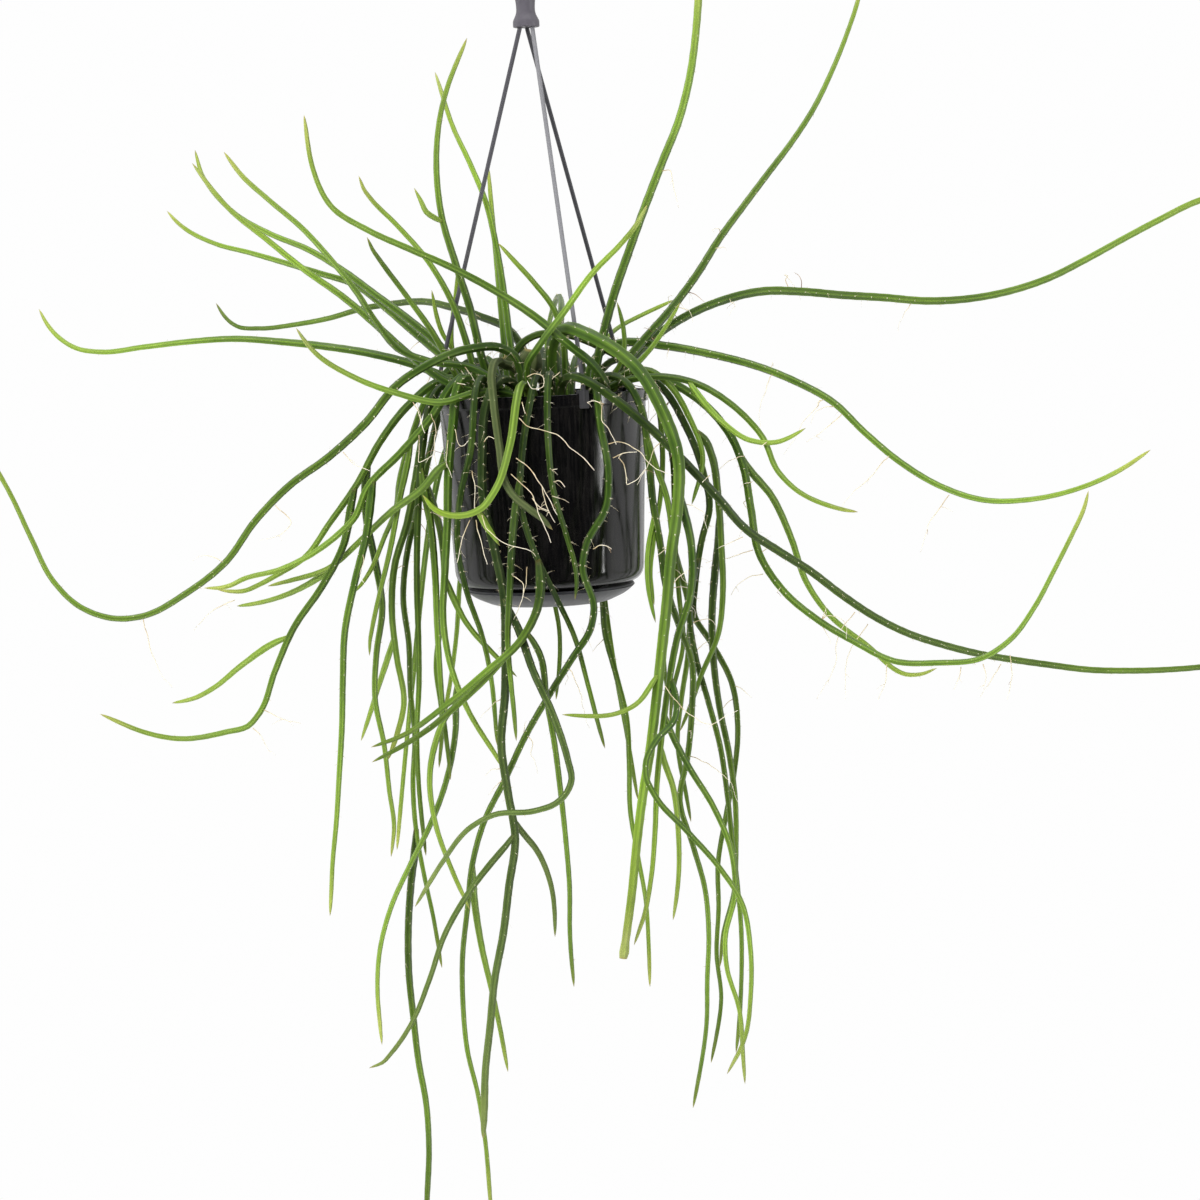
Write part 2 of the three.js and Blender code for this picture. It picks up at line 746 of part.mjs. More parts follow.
    route: [
      [560, 330, 50], [562, 300, 90], [556, 300, 130], [548, 330, 165], [544, 385, 185],
      [540, 450, 195],
    ],
  },
  {
    name: 'stem_back_04', tone: 'old', thick: MEDIUM, root: [9, 44], over: 26,
    route: [
      [575, 402, 84], [590, 480, 102], [600, 560, 106], [612, 650, 98], [628, 740, 84], [638, 800, 74],
    ],
  },
  {
    name: 'stem_back_05', tone: 'mid', thick: MEDIUM, root: [-26, 42], over: 28,
    route: [
      [466, 398, 80], [440, 470, 96], [425, 560, 98], [415, 660, 86], [405, 760, 68], [397, 850, 54],
    ],
  },
];

const WOODY_BASE = {
  name: 'stem_woody_base', tone: 'woody', thick: 10, root: [-9, -12],
  route: [[528, 378, -13], [530, 362, -15], [536, 350, -14]],
  blunt: true,
  branches: [
    { thick: 7, route: [[529, 376, -13], [516, 368, -16], [508, 356, -12]], blunt: true },
    {
      thick: FULL,
      route: [
        [518, 369, -16], [508, 359, -26], [501, 354, -42], [494, 358, -54], [489, 372, -62],
        [488, 390, -66], [493, 406, -68], [500, 422, -69], [501, 440], [499, 456, -69], [502, 472],
        [509, 489, -74], [519, 501, -79], [531, 510, -80], [543, 519], [553, 530, -78],
      ],
      end: 4.2,
    },
  ],
};

// Colours, roughness and metalness
const FINISHES = {
  pot: [0x17171a, 0.28],
  saucer: [0x47484b, 0.4],
  soil: [0x35281d, 0.95],
  cap: [0x5c5d60, 0.45],
  strandDark: [0x3a3b40, 0.45],
  strandLight: [0xa9aaa8, 0.45],
  old: [0x3f6524, 0.6],
  mid: [0x55802f, 0.55],
  fresh: [0x7fa83e, 0.5],
  yellow: [0x9dbb45, 0.5],
  grey: [0x56703c, 0.65],
  woody: [0x857a5c, 0.85],
};

const UP = new THREE.Vector3(0, 0, 1);
const SOIL_TOP = RIM_TOP - SOIL_DROP;
const ROOT_END = SOIL_TOP - HOLE_DEPTH + SEAT_GAP;

// Solids and meshes

function toSolid(geometry) {
  const plain = geometry.clone();
  plain.deleteAttribute('normal');
  plain.deleteAttribute('uv');
  const merged = mergeVertices(plain, 1e-4);
  return new wasm.Manifold(new wasm.Mesh({
    numProp: 3,
    vertProperties: Float32Array.from(merged.attributes.position.array),
    triVerts: Uint32Array.from(merged.index.array),
  }));
}

function toGeometry(solid) {
  const mesh = solid.getMesh();
  const geometry = new THREE.BufferGeometry();
  geometry.setAttribute('position', new THREE.BufferAttribute(mesh.vertProperties, 3));
  geometry.setIndex(new THREE.BufferAttribute(mesh.triVerts, 1));
  return geometry;
}

function makeMesh(name, geometry, tone) {
  const [color, roughness] = FINISHES[tone];
  const flat = geometry.index ? geometry.toNonIndexed() : geometry;
  flat.computeVertexNormals();
  const mesh = new THREE.Mesh(flat, new THREE.MeshStandardMaterial({ color, roughness, metalness: 0 }));
  mesh.name = name;
  return mesh;
}

function turned(profile, segments) {
  const points = profile.map(([radius, height]) => new THREE.Vector2(radius, height));
  return new THREE.LatheGeometry(points, segments).rotateX(Math.PI / 2);
}

// The point at an angle round the pot's axis, a distance from it, at a height
function around(degrees, out, z) {
  const turn = THREE.MathUtils.degToRad(degrees);
  return new THREE.Vector3(out * Math.cos(turn), out * Math.sin(turn), z);
}

// A round rod, upright, between two heights
function upright(x, y, bottom, top, radius, sides) {
  const rod = new THREE.CylinderGeometry(radius, radius, top - bottom, sides).rotateX(Math.PI / 2);
  return rod.translate(x, y, (bottom + top) / 2);
}

// A closed tube through centres, with a radius at each and a pole at both ends
function tube(centres, radii, sides) {
  const count = centres.length;
  const positions = [];
  const index = [];
  let side = new THREE.Vector3(1, 0.2, 0);
  const ringStart = (ring) => 1 + (ring - 1) * sides;
  positions.push(...centres[0].toArray());
  for (let ring = 1; ring < count - 1; ring += 1) {
    const ahead = centres[ring + 1].clone().sub(centres[ring - 1]).normalize();
    side = side.addScaledVector(ahead, -side.dot(ahead)).normalize();
    const across = new THREE.Vector3().crossVectors(ahead, side);
    for (let step = 0; step < sides; step += 1) {
      const turn = (2 * Math.PI * step) / sides;
      const corner = centres[ring].clone();
      corner.addScaledVector(side, radii[ring] * Math.cos(turn));
      corner.addScaledVector(across, radii[ring] * Math.sin(turn));
      positions.push(...corner.toArray());
    }
  }
  positions.push(...centres[count - 1].toArray());
  const last = positions.length / 3 - 1;
  for (let step = 0; step < sides; step += 1) {
    const next = (step + 1) % sides;
    index.push(0, ringStart(1) + next, ringStart(1) + step);
    for (let ring = 1; ring < count - 2; ring += 1) {
      const low = ringStart(ring);
      const high = ringStart(ring + 1);
      index.push(low + step, low + next, high + next, low + step, high + next, high + step);
    }
    index.push(ringStart(count - 2) + step, ringStart(count - 2) + next, last);
  }
  const geometry = new THREE.BufferGeometry();
  geometry.setAttribute('position', new THREE.Float32BufferAttribute(positions, 3));
  geometry.setIndex(index);
  return geometry;
}

// Pot, saucer and soil

function makePot() {
  const wallTop = RIM_RADIUS - RIM_STEP;
  const cornerZ = -CORNER_START;
  const inner = POT_LOWER_RADIUS - POT_WALL;
  const footInner = FOOT_RADIUS - FOOT_WIDTH;
  const underside = -POT_HEIGHT + FOOT_RISE;
  const profile = [
    [0, underside],
    [footInner, underside],
    [footInner, -POT_HEIGHT],
    [FOOT_RADIUS + FOOT_BEAD, -POT_HEIGHT],
    [FOOT_RADIUS + FOOT_BEAD, -POT_HEIGHT + BEAD_HEIGHT / 2],
    [FOOT_RADIUS, -POT_HEIGHT + BEAD_HEIGHT],
    [FOOT_RADIUS, underside],
    [POT_BASE_RADIUS - POT_WALL, underside + EDGE_EASE],
    [POT_BASE_RADIUS, -CORNER_END],
    [POT_LOWER_RADIUS - POT_WALL, -CORNER_END + (CORNER_END - CORNER_START) / 2],
    [POT_LOWER_RADIUS, cornerZ],
    [wallTop, -RIM_BAND],
    [RIM_RADIUS, -RIM_BAND + EDGE_EASE],
    [RIM_RADIUS, -EDGE_EASE],
    [RIM_RADIUS - EDGE_EASE, 0],
    [RIM_RADIUS - POT_WALL, 0],
    [wallTop - POT_WALL, -RIM_BAND],
    [inner, cornerZ],
    [POT_BASE_RADIUS - POT_WALL, -CORNER_END + POT_WALL],
    [0, -CORNER_END + POT_WALL],
  ];
  let pot = toSolid(turned(profile, POT_SEGMENTS).translate(0, 0, RIM_TOP));
  for (let drain = 0; drain < DRAIN_COUNT; drain += 1) {
    const turn = (2 * Math.PI * (drain + 0.5)) / DRAIN_COUNT;
    const x = DRAIN_CIRCLE * Math.cos(turn);
    const y = DRAIN_CIRCLE * Math.sin(turn);
    const drill = upright(x, y, RIM_TOP - POT_HEIGHT, RIM_TOP - CORNER_START, DRAIN_RADIUS, DRAIN_SIDES);
    pot = pot.subtract(toSolid(drill));
  }
  return makeMesh('pot', toGeometry(pot), 'pot');
}

function makeSaucer() {
  const floor = -POT_HEIGHT - SEAT_GAP;
  const bottom = floor - SAUCER_WALL;
  const ring = FOOT_RADIUS + FOOT_BEAD + SEAT_GAP;
  const lip = -SAUCER_LIP_DROP;
  const rise = lip - bottom;
  const spread = SAUCER_LIP_RADIUS - SAUCER_FLOOR_RADIUS;
  const profile = [
    [0, bottom],
    [SAUCER_FLOOR_RADIUS, bottom],
    [SAUCER_FLOOR_RADIUS + spread * 0.42, bottom + rise * 0.18],
    [SAUCER_FLOOR_RADIUS + spread * 0.79, bottom + rise * 0.53],
    [SAUCER_LIP_RADIUS, lip - EDGE_EASE],
    [SAUCER_LIP_RADIUS, lip],
    [SAUCER_LIP_RADIUS - SAUCER_WALL, lip],
    [SAUCER_LIP_RADIUS - SAUCER_WALL, lip - EDGE_EASE * 2],
    [ring + SNAP_RING_WALL, floor + EDGE_EASE],
    [ring + SNAP_RING_WALL, lip],
    [FOOT_RADIUS + SEAT_GAP, lip],
    [FOOT_RADIUS + SEAT_GAP, lip - EDGE_EASE],
    [ring, lip - EDGE_EASE * 2],
    [ring, floor],
    [0, floor],
  ];
  return makeMesh('saucer', turned(profile, POT_SEGMENTS).translate(0, 0, RIM_TOP), 'saucer');
}

function makeSoil(roots) {
  const gap = SEAT_GAP;
  const bandRadius = RIM_RADIUS - RIM_STEP - POT_WALL - gap;
  const profile = [
    [0, -CORNER_END + POT_WALL + gap],
    [POT_BASE_RADIUS - POT_WALL - gap, -CORNER_END + POT_WALL + gap],
    [POT_LOWER_RADIUS - POT_WALL - gap, -CORNER_START],
    [bandRadius, -SOIL_DROP],
    [0, -SOIL_DROP],
  ];
  let soil = toSolid(turned(profile, POT_SEGMENTS).translate(0, 0, RIM_TOP));
  for (const { x, y, radius } of roots) {
    soil = soil.subtract(toSolid(upright(x, y, SOIL_TOP - HOLE_DEPTH, RIM_TOP, radius, HOLE_SIDES)));
  }
  return makeMesh('soil', toGeometry(soil), 'soil');
}

// Hanger

function makeHook() {
  const height = CAP_TOP - CAP_BOTTOM;
  const shoulder = (CAP_LIP_RADIUS + CAP_WAIST_RADIUS) / 2;
  const capProfile = [
    [0, CAP_BOTTOM],
    [CAP_LIP_RADIUS - EDGE_EASE, CAP_BOTTOM],
    [CAP_LIP_RADIUS, CAP_BOTTOM + EDGE_EASE],
    [CAP_LIP_RADIUS, CAP_BOTTOM + height * 0.17],
    [CAP_WAIST_RADIUS, CAP_BOTTOM + height * 0.38],
    [CAP_WAIST_RADIUS, CAP_BOTTOM + height * 0.6],
    [shoulder, CAP_TOP - EDGE_EASE],
    [shoulder - EDGE_EASE, CAP_TOP],
    [0, CAP_TOP],
  ];
  const loopRadius = HOOK_INNER_RADIUS + HOOK_ROD_RADIUS;
  const centreZ = -HOOK_INNER_RADIUS;
  const path = [
    new THREE.Vector3(0, 0, CAP_TOP - HOOK_ROD_RADIUS),
    new THREE.Vector3(0, 0, CAP_TOP + HOOK_ROD_RADIUS / 2),
    new THREE.Vector3(loopRadius * 0.35, 0, CAP_TOP + HOOK_ROD_RADIUS * 2),
  ];
  for (let degree = HOOK_START; degree <= HOOK_END; degree += (HOOK_END - HOOK_START) / HOOK_STEPS) {
    const turn = THREE.MathUtils.degToRad(degree);
    path.push(new THREE.Vector3(loopRadius * Math.cos(turn), 0, centreZ + loopRadius * Math.sin(turn)));
  }
  const curve = new THREE.CatmullRomCurve3(path, false, 'centripetal');
  const centres = curve.getSpacedPoints(22);
  const radii = centres.map(() => HOOK_ROD_RADIUS);
  let hook = toSolid(turned(capProfile, 18)).add(toSolid(tube(centres, radii, 7)));
  for (const { socket } of STRANDS) {
    const { x, y } = around(socket, STRAND_CIRCLE, 0);
    const bore = upright(x, y, CAP_BOTTOM - 1, CAP_BOTTOM + SOCKET_DEPTH, SOCKET_RADIUS, SOCKET_SIDES);
    hook = hook.subtract(toSolid(bore));
  }
  return makeMesh('hanger_hook', toGeometry(hook), 'cap');
}

// The centre line of a strand, from its socket in the cap straight to its clip on the rim
function strandLine({ clip, socket }) {
  const clipRadius = RIM_RADIUS + SEAT_GAP + CLIP_THICKNESS / 2;
  const mouth = around(socket, STRAND_CIRCLE, CAP_BOTTOM);
  const landing = around(clip, clipRadius - STRAND_RADIUS, RIM_TOP + CLIP_REACH);
  return [
    around(socket, STRAND_CIRCLE, CAP_BOTTOM + SOCKET_DEPTH - SEAT_GAP),
    mouth,
    mouth.clone().lerp(landing, SOCKET_BEND),
    landing,
    around(clip, clipRadius, RIM_TOP),
    around(clip, clipRadius, RIM_TOP - CLIP_REACH / 2),
  ];
}

function makeStrand(strand) {
  const { name, clip: angle, tone } = strand;
  const line = strandLine(strand);
  const radii = line.map(() => STRAND_RADIUS);
  const rod = toSolid(tube(line, radii, 6));
  const gap = SEAT_GAP;
  const outside = RIM_RADIUS + gap;
  const inside = RIM_RADIUS - POT_WALL - gap;
  const jaw = new THREE.Shape([
    new THREE.Vector2(outside + CLIP_THICKNESS, gap + CLIP_THICKNESS),
    new THREE.Vector2(inside - CLIP_THICKNESS, gap + CLIP_THICKNESS),
    new THREE.Vector2(inside - CLIP_THICKNESS, -CLIP_LIP),
    new THREE.Vector2(inside - CLIP_THICKNESS / 3, -CLIP_LIP),
    new THREE.Vector2(inside, gap),
    new THREE.Vector2(outside, gap),
    new THREE.Vector2(outside, -CLIP_REACH),
    new THREE.Vector2(outside + CLIP_THICKNESS, -CLIP_REACH),
  ]);
  const clip = new THREE.ExtrudeGeometry(jaw, { depth: CLIP_WIDTH, bevelEnabled: false });
  clip.translate(0, 0, -CLIP_WIDTH / 2).rotateX(Math.PI / 2);
  clip.rotateZ(THREE.MathUtils.degToRad(angle)).translate(0, 0, RIM_TOP);
  return makeMesh(name, toGeometry(rod.add(toSolid(clip))), tone);
}

// Stem routes

// The point of the front view at [right, down], on the plane that lies depth behind the pot's axis
function fromView([right, down], depth) {
  const ahead = VIEW_AIM.clone().sub(VIEW_EYE);
  const focal = ahead.length() / VIEW_STEP;
  ahead.normalize();
  const across = new THREE.Vector3().crossVectors(ahead, UP).normalize();
  const above = new THREE.Vector3().crossVectors(across, ahead);
  const u = right - VIEW_CENTRE;
  const v = VIEW_CENTRE - down;
  const rightward = u * Math.cos(VIEW_LEAN) + v * Math.sin(VIEW_LEAN);
  const upward = v * Math.cos(VIEW_LEAN) - u * Math.sin(VIEW_LEAN);
  const ray = ahead.multiplyScalar(focal).addScaledVector(across, rightward).addScaledVector(above, upward);
  return VIEW_EYE.clone().addScaledVector(ray, (depth - VIEW_EYE.y) / ray.y);
}

// Depths that a route leaves out are spread evenly between its neighbours along the route
function routePoints(route) {
  const travelled = [0];
  for (let step = 1; step < route.length; step += 1) {
    const [right, down] = route[step];
    const [lastRight, lastDown] = route[step - 1];
    travelled.push(travelled[step - 1] + Math.hypot(right - lastRight, down - lastDown));
  }
  const known = route.map((point, step) => step).filter((step) => route[step].length === 3);
  return route.map((point, step) => {
    const after = known.find((other) => other >= step);
    const before = known.findLast((other) => other <= step);
    const span = travelled[after] - travelled[before];
    const share = span > 0 ? (travelled[step] - travelled[before]) / span : 0;
    return fromView(point, THREE.MathUtils.lerp(route[before][2], route[after][2], share));
  });
}

// The way from the root hole to the first point of the route, over the rim where needed
function rootPoints({ root, over }, first) {
  const [x, y] = root;
  const points = [
    new THREE.Vector3(x, y, ROOT_END),
    new THREE.Vector3(x, y, SOIL_TOP + COLLAR),
  ];
  if (over) {
    const outward = new THREE.Vector2(first.x - x, first.y - y).normalize();
    const crossing = new THREE.Vector2(x, y);
    while (crossing.length() < RIM_RADIUS) {
      crossing.addScaledVector(outward, 1);
    }
    const inside = new THREE.Vector2(x, y).lerp(crossing, 0.45);
    points.push(new THREE.Vector3(inside.x, inside.y, RIM_TOP + over * 0.85));
    points.push(new THREE.Vector3(crossing.x, crossing.y, RIM_TOP + over));
  }
  return points;
}

// Shoots. A shoot is a stem or a branch: a chain of points, with the trunk it grows on if any.

function growShoot(shape, trunk, shoots) {
  const reach = routePoints(shape.route);
  const start = trunk ? [] : rootPoints(shape, reach[0]);
  const curve = new THREE.CatmullRomCurve3([...start.slice(1), ...reach], false, 'centripetal');
  curve.arcLengthDivisions = 600;
  const count = Math.max(3, Math.round(curve.getLength() / CHAIN_STEP));
  const points = curve.getSpacedPoints(count);
  for (let pass = 0; pass < ARCH_PASSES; pass += 1) {
    for (let step = 1; step < Math.min(ARCH_LINKS, count); step += 1) {
      const between = points[step - 1].clone().lerp(points[step + 1], 0.5);
      points[step].lerp(between, 0.5);
    }
  }
  let grip = 0;
  if (trunk) {
    const distances = trunk.points.map((point) => point.distanceTo(points[0]));
    grip = distances.indexOf(Math.min(...distances));
    points[0] = trunk.points[grip].clone();
  } else {
    points.unshift(start[0]);
  }
  const shoot = {
    name: shape.name, thick: shape.thick, end: shape.end, blunt: shape.blunt, trunk, grip, points,
    radius: shape.thick / 2,
    rest: points.map((point) => point.clone()),
    push: points.map(() => new THREE.Vector3()),
    branches: [],
  };
  shoots.push(shoot);
  for (const branch of shape.branches ?? []) {
    shoot.branches.push(growShoot(branch, shoot, shoots));
  }
  return shoot;
}

// The hanger's strands and clips, which stay where they are
function fixedChains() {
  const chains = [];
  for (const strand of STRANDS) {
    const line = strandLine(strand);
    const foot = line[line.length - 1];
    chains.push({ points: line, radius: STRAND_RADIUS, fixed: true });
    const clip = [foot.clone().setZ(RIM_TOP + CLIP_LIP), foot.clone().setZ(RIM_TOP - CLIP_REACH)];
    chains.push({ points: clip, radius: CLIP_WIDTH * 0.65, fixed: true });
  }
  return chains;
}

// How many links lie between two links of one stem, along the stem itself
function linksBetween(first, firstLink, second, secondLink) {
  if (first === second) {
    return Math.abs(firstLink - secondLink);
  }
  if (second.trunk === first) {
    return secondLink + Math.abs(firstLink - second.grip);
  }
  if (first.trunk === second) {
    return firstLink + Math.abs(secondLink - first.grip);
  }
  if (first.trunk && first.trunk === second.trunk) {
    return firstLink + secondLink + Math.abs(first.grip - second.grip);
  }
  return Infinity;
}

// Pairs of links that lie close enough to meet in the next few rounds
function closeLinks(chains) {
  const links = [];
  for (const chain of chains) {
    for (let link = 0; link < chain.points.length - 1; link += 1) {
      const line = new THREE.Line3(chain.points[link], chain.points[link + 1]);
      const middle = line.getCenter(new THREE.Vector3());
      links.push({ chain, link, line, middle, half: line.distance() / 2 });
    }
  }
  const pairs = [];
  for (let a = 0; a < links.length; a += 1) {
    for (let b = a + 1; b < links.length; b += 1) {
      const one = links[a];
      const other = links[b];
      const reach = one.half + other.half + one.chain.radius + other.chain.radius + 8;
      if (one.middle.distanceTo(other.middle) > reach || (one.chain.fixed && other.chain.fixed)) {
        continue;
      }
      if (linksBetween(one.chain, one.link, other.chain, other.link) >= LINKS_LEFT_ALONE) {
        pairs.push([one, other]);
      }
    }
  }
  return pairs;
}

function pushLink({ chain, link }, share, push) {
  if (!chain.fixed) {
    chain.push[link].addScaledVector(push, 1 - share);
    chain.push[link + 1].addScaledVector(push, share);
  }
}

function pushApart(pairs) {
  const near = new THREE.Vector3();
  const far = new THREE.Vector3();
  for (const [one, other] of pairs) {
    const wanted = one.chain.radius + other.chain.radius + STEM_CLEARANCE;
    const square = one.line.distanceSqToLine3(other.line, near, far);
    if (square >= wanted * wanted) {
      continue;
    }
    const distance = Math.sqrt(square);
    const away = near.clone().sub(far);
    if (distance < 0.01) {
      away.set(0, one.middle.y < other.middle.y ? -1 : 1, 0);
    }
    away.setLength((wanted - distance) * PUSH_SHARE);
    const shareOne = one.line.closestPointToPointParameter(near, true);
    const shareOther = other.line.closestPointToPointParameter(far, true);
    pushLink(one, shareOne, away);
    pushLink(other, shareOther, away.negate());
  }
}

// Keeps a link's sample point outside the pot and the saucer, and above the rim and the soil
function pushOffPot(shoot, link, share) {
  const point = shoot.points[link].clone().lerp(shoot.points[link + 1], share);
  const out = Math.hypot(point.x, point.y);
  const clear = shoot.radius + STEM_CLEARANCE;
  const drop = (RIM_TOP - point.z) / CORNER_START;
  const wall = THREE.MathUtils.lerp(RIM_RADIUS, POT_LOWER_RADIUS, drop);
  const outward = wall + clear - out;
  const floor = RIM_TOP - POT_HEIGHT - 2 - clear;
  const push = new THREE.Vector3();
  if (point.z > RIM_TOP + clear || point.z < floor || outward <= 0) {
    return;
  }
  if (out < wall - clear - 2) {
    const soilRise = SOIL_TOP + clear - point.z;
    if (point.z > RIM_TOP - 40 && soilRise > 0) {
      push.z = soilRise;
    } else if (point.z < RIM_TOP - 80) {
      push.z = floor - point.z;
    }
  } else if (RIM_TOP + clear - point.z < outward) {
    push.z = RIM_TOP + clear - point.z;
  } else {
    push.set(point.x, point.y, 0).setLength(outward);
  }
  pushLink({ chain: shoot, link }, share, push.multiplyScalar(PUSH_SHARE));
}

// Moves each shoot by its pushes, evens the moves out along it and draws it back to its route
function moveShoot(shoot) {
  const { points, rest, push, trunk, grip } = shoot;
  const moves = points.map((point, step) => point.clone().sub(rest[step]).add(push[step]));
  points.forEach((point, step) => {
    const before = moves[Math.max(step - 1, 0)];
    const after = moves[Math.min(step + 1, moves.length - 1)];
    const even = before.clone().add(after).multiplyScalar(0.5);
    const move = moves[step].clone().lerp(even, EVENING);
    move.x *= 1 - DRAW_BACK;
    move.z *= 1 - DRAW_BACK;
    point.copy(rest[step]).add(move);
    push[step].set(0, 0, 0);
  });
  if (trunk) {
    points[0].copy(trunk.points[grip]);
    return;
  }
  const root = points[1].lerp(rest[1], ROOT_HOLD).setZ(0);
  root.clampLength(0, ROOT_CIRCLE);
  points[2].lerp(new THREE.Vector3(root.x, root.y, rest[2].z), 0.5);
  points[0].set(root.x, root.y, rest[0].z);
  points[1].setZ(rest[1].z);
}

function spreadShoots(shoots) {
  const chains = [...shoots, ...fixedChains()];
  let pairs = [];
  for (let round = 0; round < SPREAD_ROUNDS; round += 1) {
    if (round % 8 === 0) {
      pairs = closeLinks(chains);
    }
    pushApart(pairs);
    for (const shoot of shoots) {
      for (let link = shoot.trunk ? 0 : 2; link < shoot.points.length - 1; link += 1) {
        pushOffPot(shoot, link, 0.25);
        pushOffPot(shoot, link, 0.75);
      }
    }
    shoots.forEach(moveShoot);
  }
}

// Rings stand closer together where the shoot bends, and at set places near its ends. The shoot gets
// thinner all the way, and a ring's share is taken of the radius there.
function shootTube({ points, thick, end, trunk, blunt }) {
  const curve = new THREE.CatmullRomCurve3(points, false, 'centripetal');
  curve.arcLengthDivisions = 600;
  const length = curve.getLength();
  const thin = end ?? (blunt ? thick : TIP_THICK);
  const radiusAt = (at) => THREE.MathUtils.lerp(thick, thin, (at / length) ** TAPER_POWER) / 2;
  const base = trunk ? [[0, 0], [0.8, 0.5], [7, 0.94]] : [[0, 0], [0.4, 1]];
  const rounded = [[TIP_LENGTH, 1], [TIP_LENGTH * 0.5, 0.86], [TIP_LENGTH * 0.16, 0.5], [0, 0]];
  const tip = blunt ? [[0.5, 1], [0, 0]] : rounded;
  const bodyEnd = length - tip[0][0];
  const rings = [...base];
  let [last] = base[base.length - 1];
  let turned = 0;
  let heading = curve.getTangentAt(last / length);
  for (let at = last + 1; at < bodyEnd - SHORTEST_STEP; at += 1) {
    const ahead = curve.getTangentAt(at / length);
    turned += ahead.angleTo(heading);
    heading = ahead;
    if (at - last >= LONGEST_STEP || (turned > RING_TURN && at - last >= SHORTEST_STEP)) {
      rings.push([at, 1]);
      last = at;
      turned = 0;
    }
  }
  rings.push(...tip.map(([back, share]) => [length - back, share]));
  const centres = rings.map(([at]) => curve.getPointAt(Math.min(at / length, 1)));
  return toSolid(tube(centres, rings.map(([at, share]) => radiusAt(at) * share), STEM_SIDES));
}

function shootSolid(shoot) {
  let solid = shootTube(shoot);
  for (const branch of shoot.branches) {
    solid = solid.add(shootSolid(branch));
  }
  return solid;
}

const shapes = [...STEMS, WOODY_BASE];
const shoots = [];
const rooted = shapes.map((shape) => growShoot(shape, null, shoots));
spreadShoots(shoots);

const roots = rooted.map(({ points, radius }) => {
  return { x: points[0].x, y: points[0].y, radius: (radius + HOLE_GAP) / Math.cos(Math.PI / HOLE_SIDES) };
});

const plant = new THREE.Group();
plant.add(makeHook(), ...STRANDS.map(makeStrand), makePot(), makeSaucer(), makeSoil(roots));
for (const [step, { name, tone }] of shapes.entries()) {
  plant.add(makeMesh(name, toGeometry(shootSolid(rooted[step])), tone));
}

export default plant;
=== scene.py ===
# %% [markdown]
# A trailing cactus in a hanging pot
#
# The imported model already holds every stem, the pot, the soil and the hanger at their real size.
# This lesson dresses it: each plain five-sided stem becomes a ribbed one with areoles, bristles and
# air roots, the pot becomes glossy moulded plastic, and the whole is lit like a shop photograph.
# Everything is in metres, and the origin is the point where the hook bears on its nail.

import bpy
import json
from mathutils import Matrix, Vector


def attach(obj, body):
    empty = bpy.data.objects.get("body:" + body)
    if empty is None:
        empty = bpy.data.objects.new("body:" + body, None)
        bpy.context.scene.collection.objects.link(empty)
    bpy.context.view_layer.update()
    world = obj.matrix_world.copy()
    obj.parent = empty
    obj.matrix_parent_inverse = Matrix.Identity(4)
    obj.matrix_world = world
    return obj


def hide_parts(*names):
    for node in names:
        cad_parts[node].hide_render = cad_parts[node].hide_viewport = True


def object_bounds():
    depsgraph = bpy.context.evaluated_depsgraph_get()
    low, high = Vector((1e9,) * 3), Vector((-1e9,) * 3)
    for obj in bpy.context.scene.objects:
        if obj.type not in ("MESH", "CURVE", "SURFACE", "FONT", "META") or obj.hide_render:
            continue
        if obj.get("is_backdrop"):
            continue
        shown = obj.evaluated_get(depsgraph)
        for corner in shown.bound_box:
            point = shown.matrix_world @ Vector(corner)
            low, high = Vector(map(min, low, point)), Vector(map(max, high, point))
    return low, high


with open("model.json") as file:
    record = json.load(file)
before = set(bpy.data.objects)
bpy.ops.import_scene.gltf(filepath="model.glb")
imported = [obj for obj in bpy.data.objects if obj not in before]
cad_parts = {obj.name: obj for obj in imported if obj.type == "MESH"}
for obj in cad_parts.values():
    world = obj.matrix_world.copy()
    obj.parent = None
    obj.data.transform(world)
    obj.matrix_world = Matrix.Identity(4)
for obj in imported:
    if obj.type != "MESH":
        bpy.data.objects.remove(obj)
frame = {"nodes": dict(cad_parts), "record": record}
cad_low, cad_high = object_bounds()
print("packed box", [round(v, 4) for v in (*cad_low, *cad_high)])

# %% Tools and units
import itertools
import json
import math
import random

import bmesh
import bpy
import numpy as np
from mathutils import Matrix, Vector, noise
from mathutils.kdtree import KDTree

MM = 0.001
# Vector noise in Blender starts from the clock unless it gets a seed.
NOISE_SEED = 4
noise.seed_set(NOISE_SEED)
nodes = frame["nodes"]
finish_slot = {part["node"]: part["material_slot"] for part in frame["record"]["subparts"]}
stem_names = sorted(name for name in nodes if name.startswith("stem_"))
print(len(nodes), "packed nodes,", len(stem_names), "of them stems")

# %% [markdown]
# The camera
#
# The picture was taken from 1.8 m in front, a little above the rim, and the camera leaned a little to
# one side. The pot's rim is 209 steps wide in the picture and 120 mm across, which gives the size of
# a step. The lens follows from that step and the distance.

# %% Camera
PICTURE_SIDE = 1200
VIEW_STEP = 0.574 * MM
VIEW_EYE = Vector((28, -1800, -200)) * MM
VIEW_AIM = Vector((28, 0, -372)) * MM
VIEW_LEAN = math.radians(2.4)
SENSOR = 36.0

view_ahead = (VIEW_AIM - VIEW_EYE).normalized()
level_right = view_ahead.cross(Vector((0, 0, 1))).normalized()
level_up = level_right.cross(view_ahead)
view_right = math.cos(VIEW_LEAN) * level_right - math.sin(VIEW_LEAN) * level_up
view_up = math.sin(VIEW_LEAN) * level_right + math.cos(VIEW_LEAN) * level_up
view_reach = (VIEW_AIM - VIEW_EYE).length / VIEW_STEP

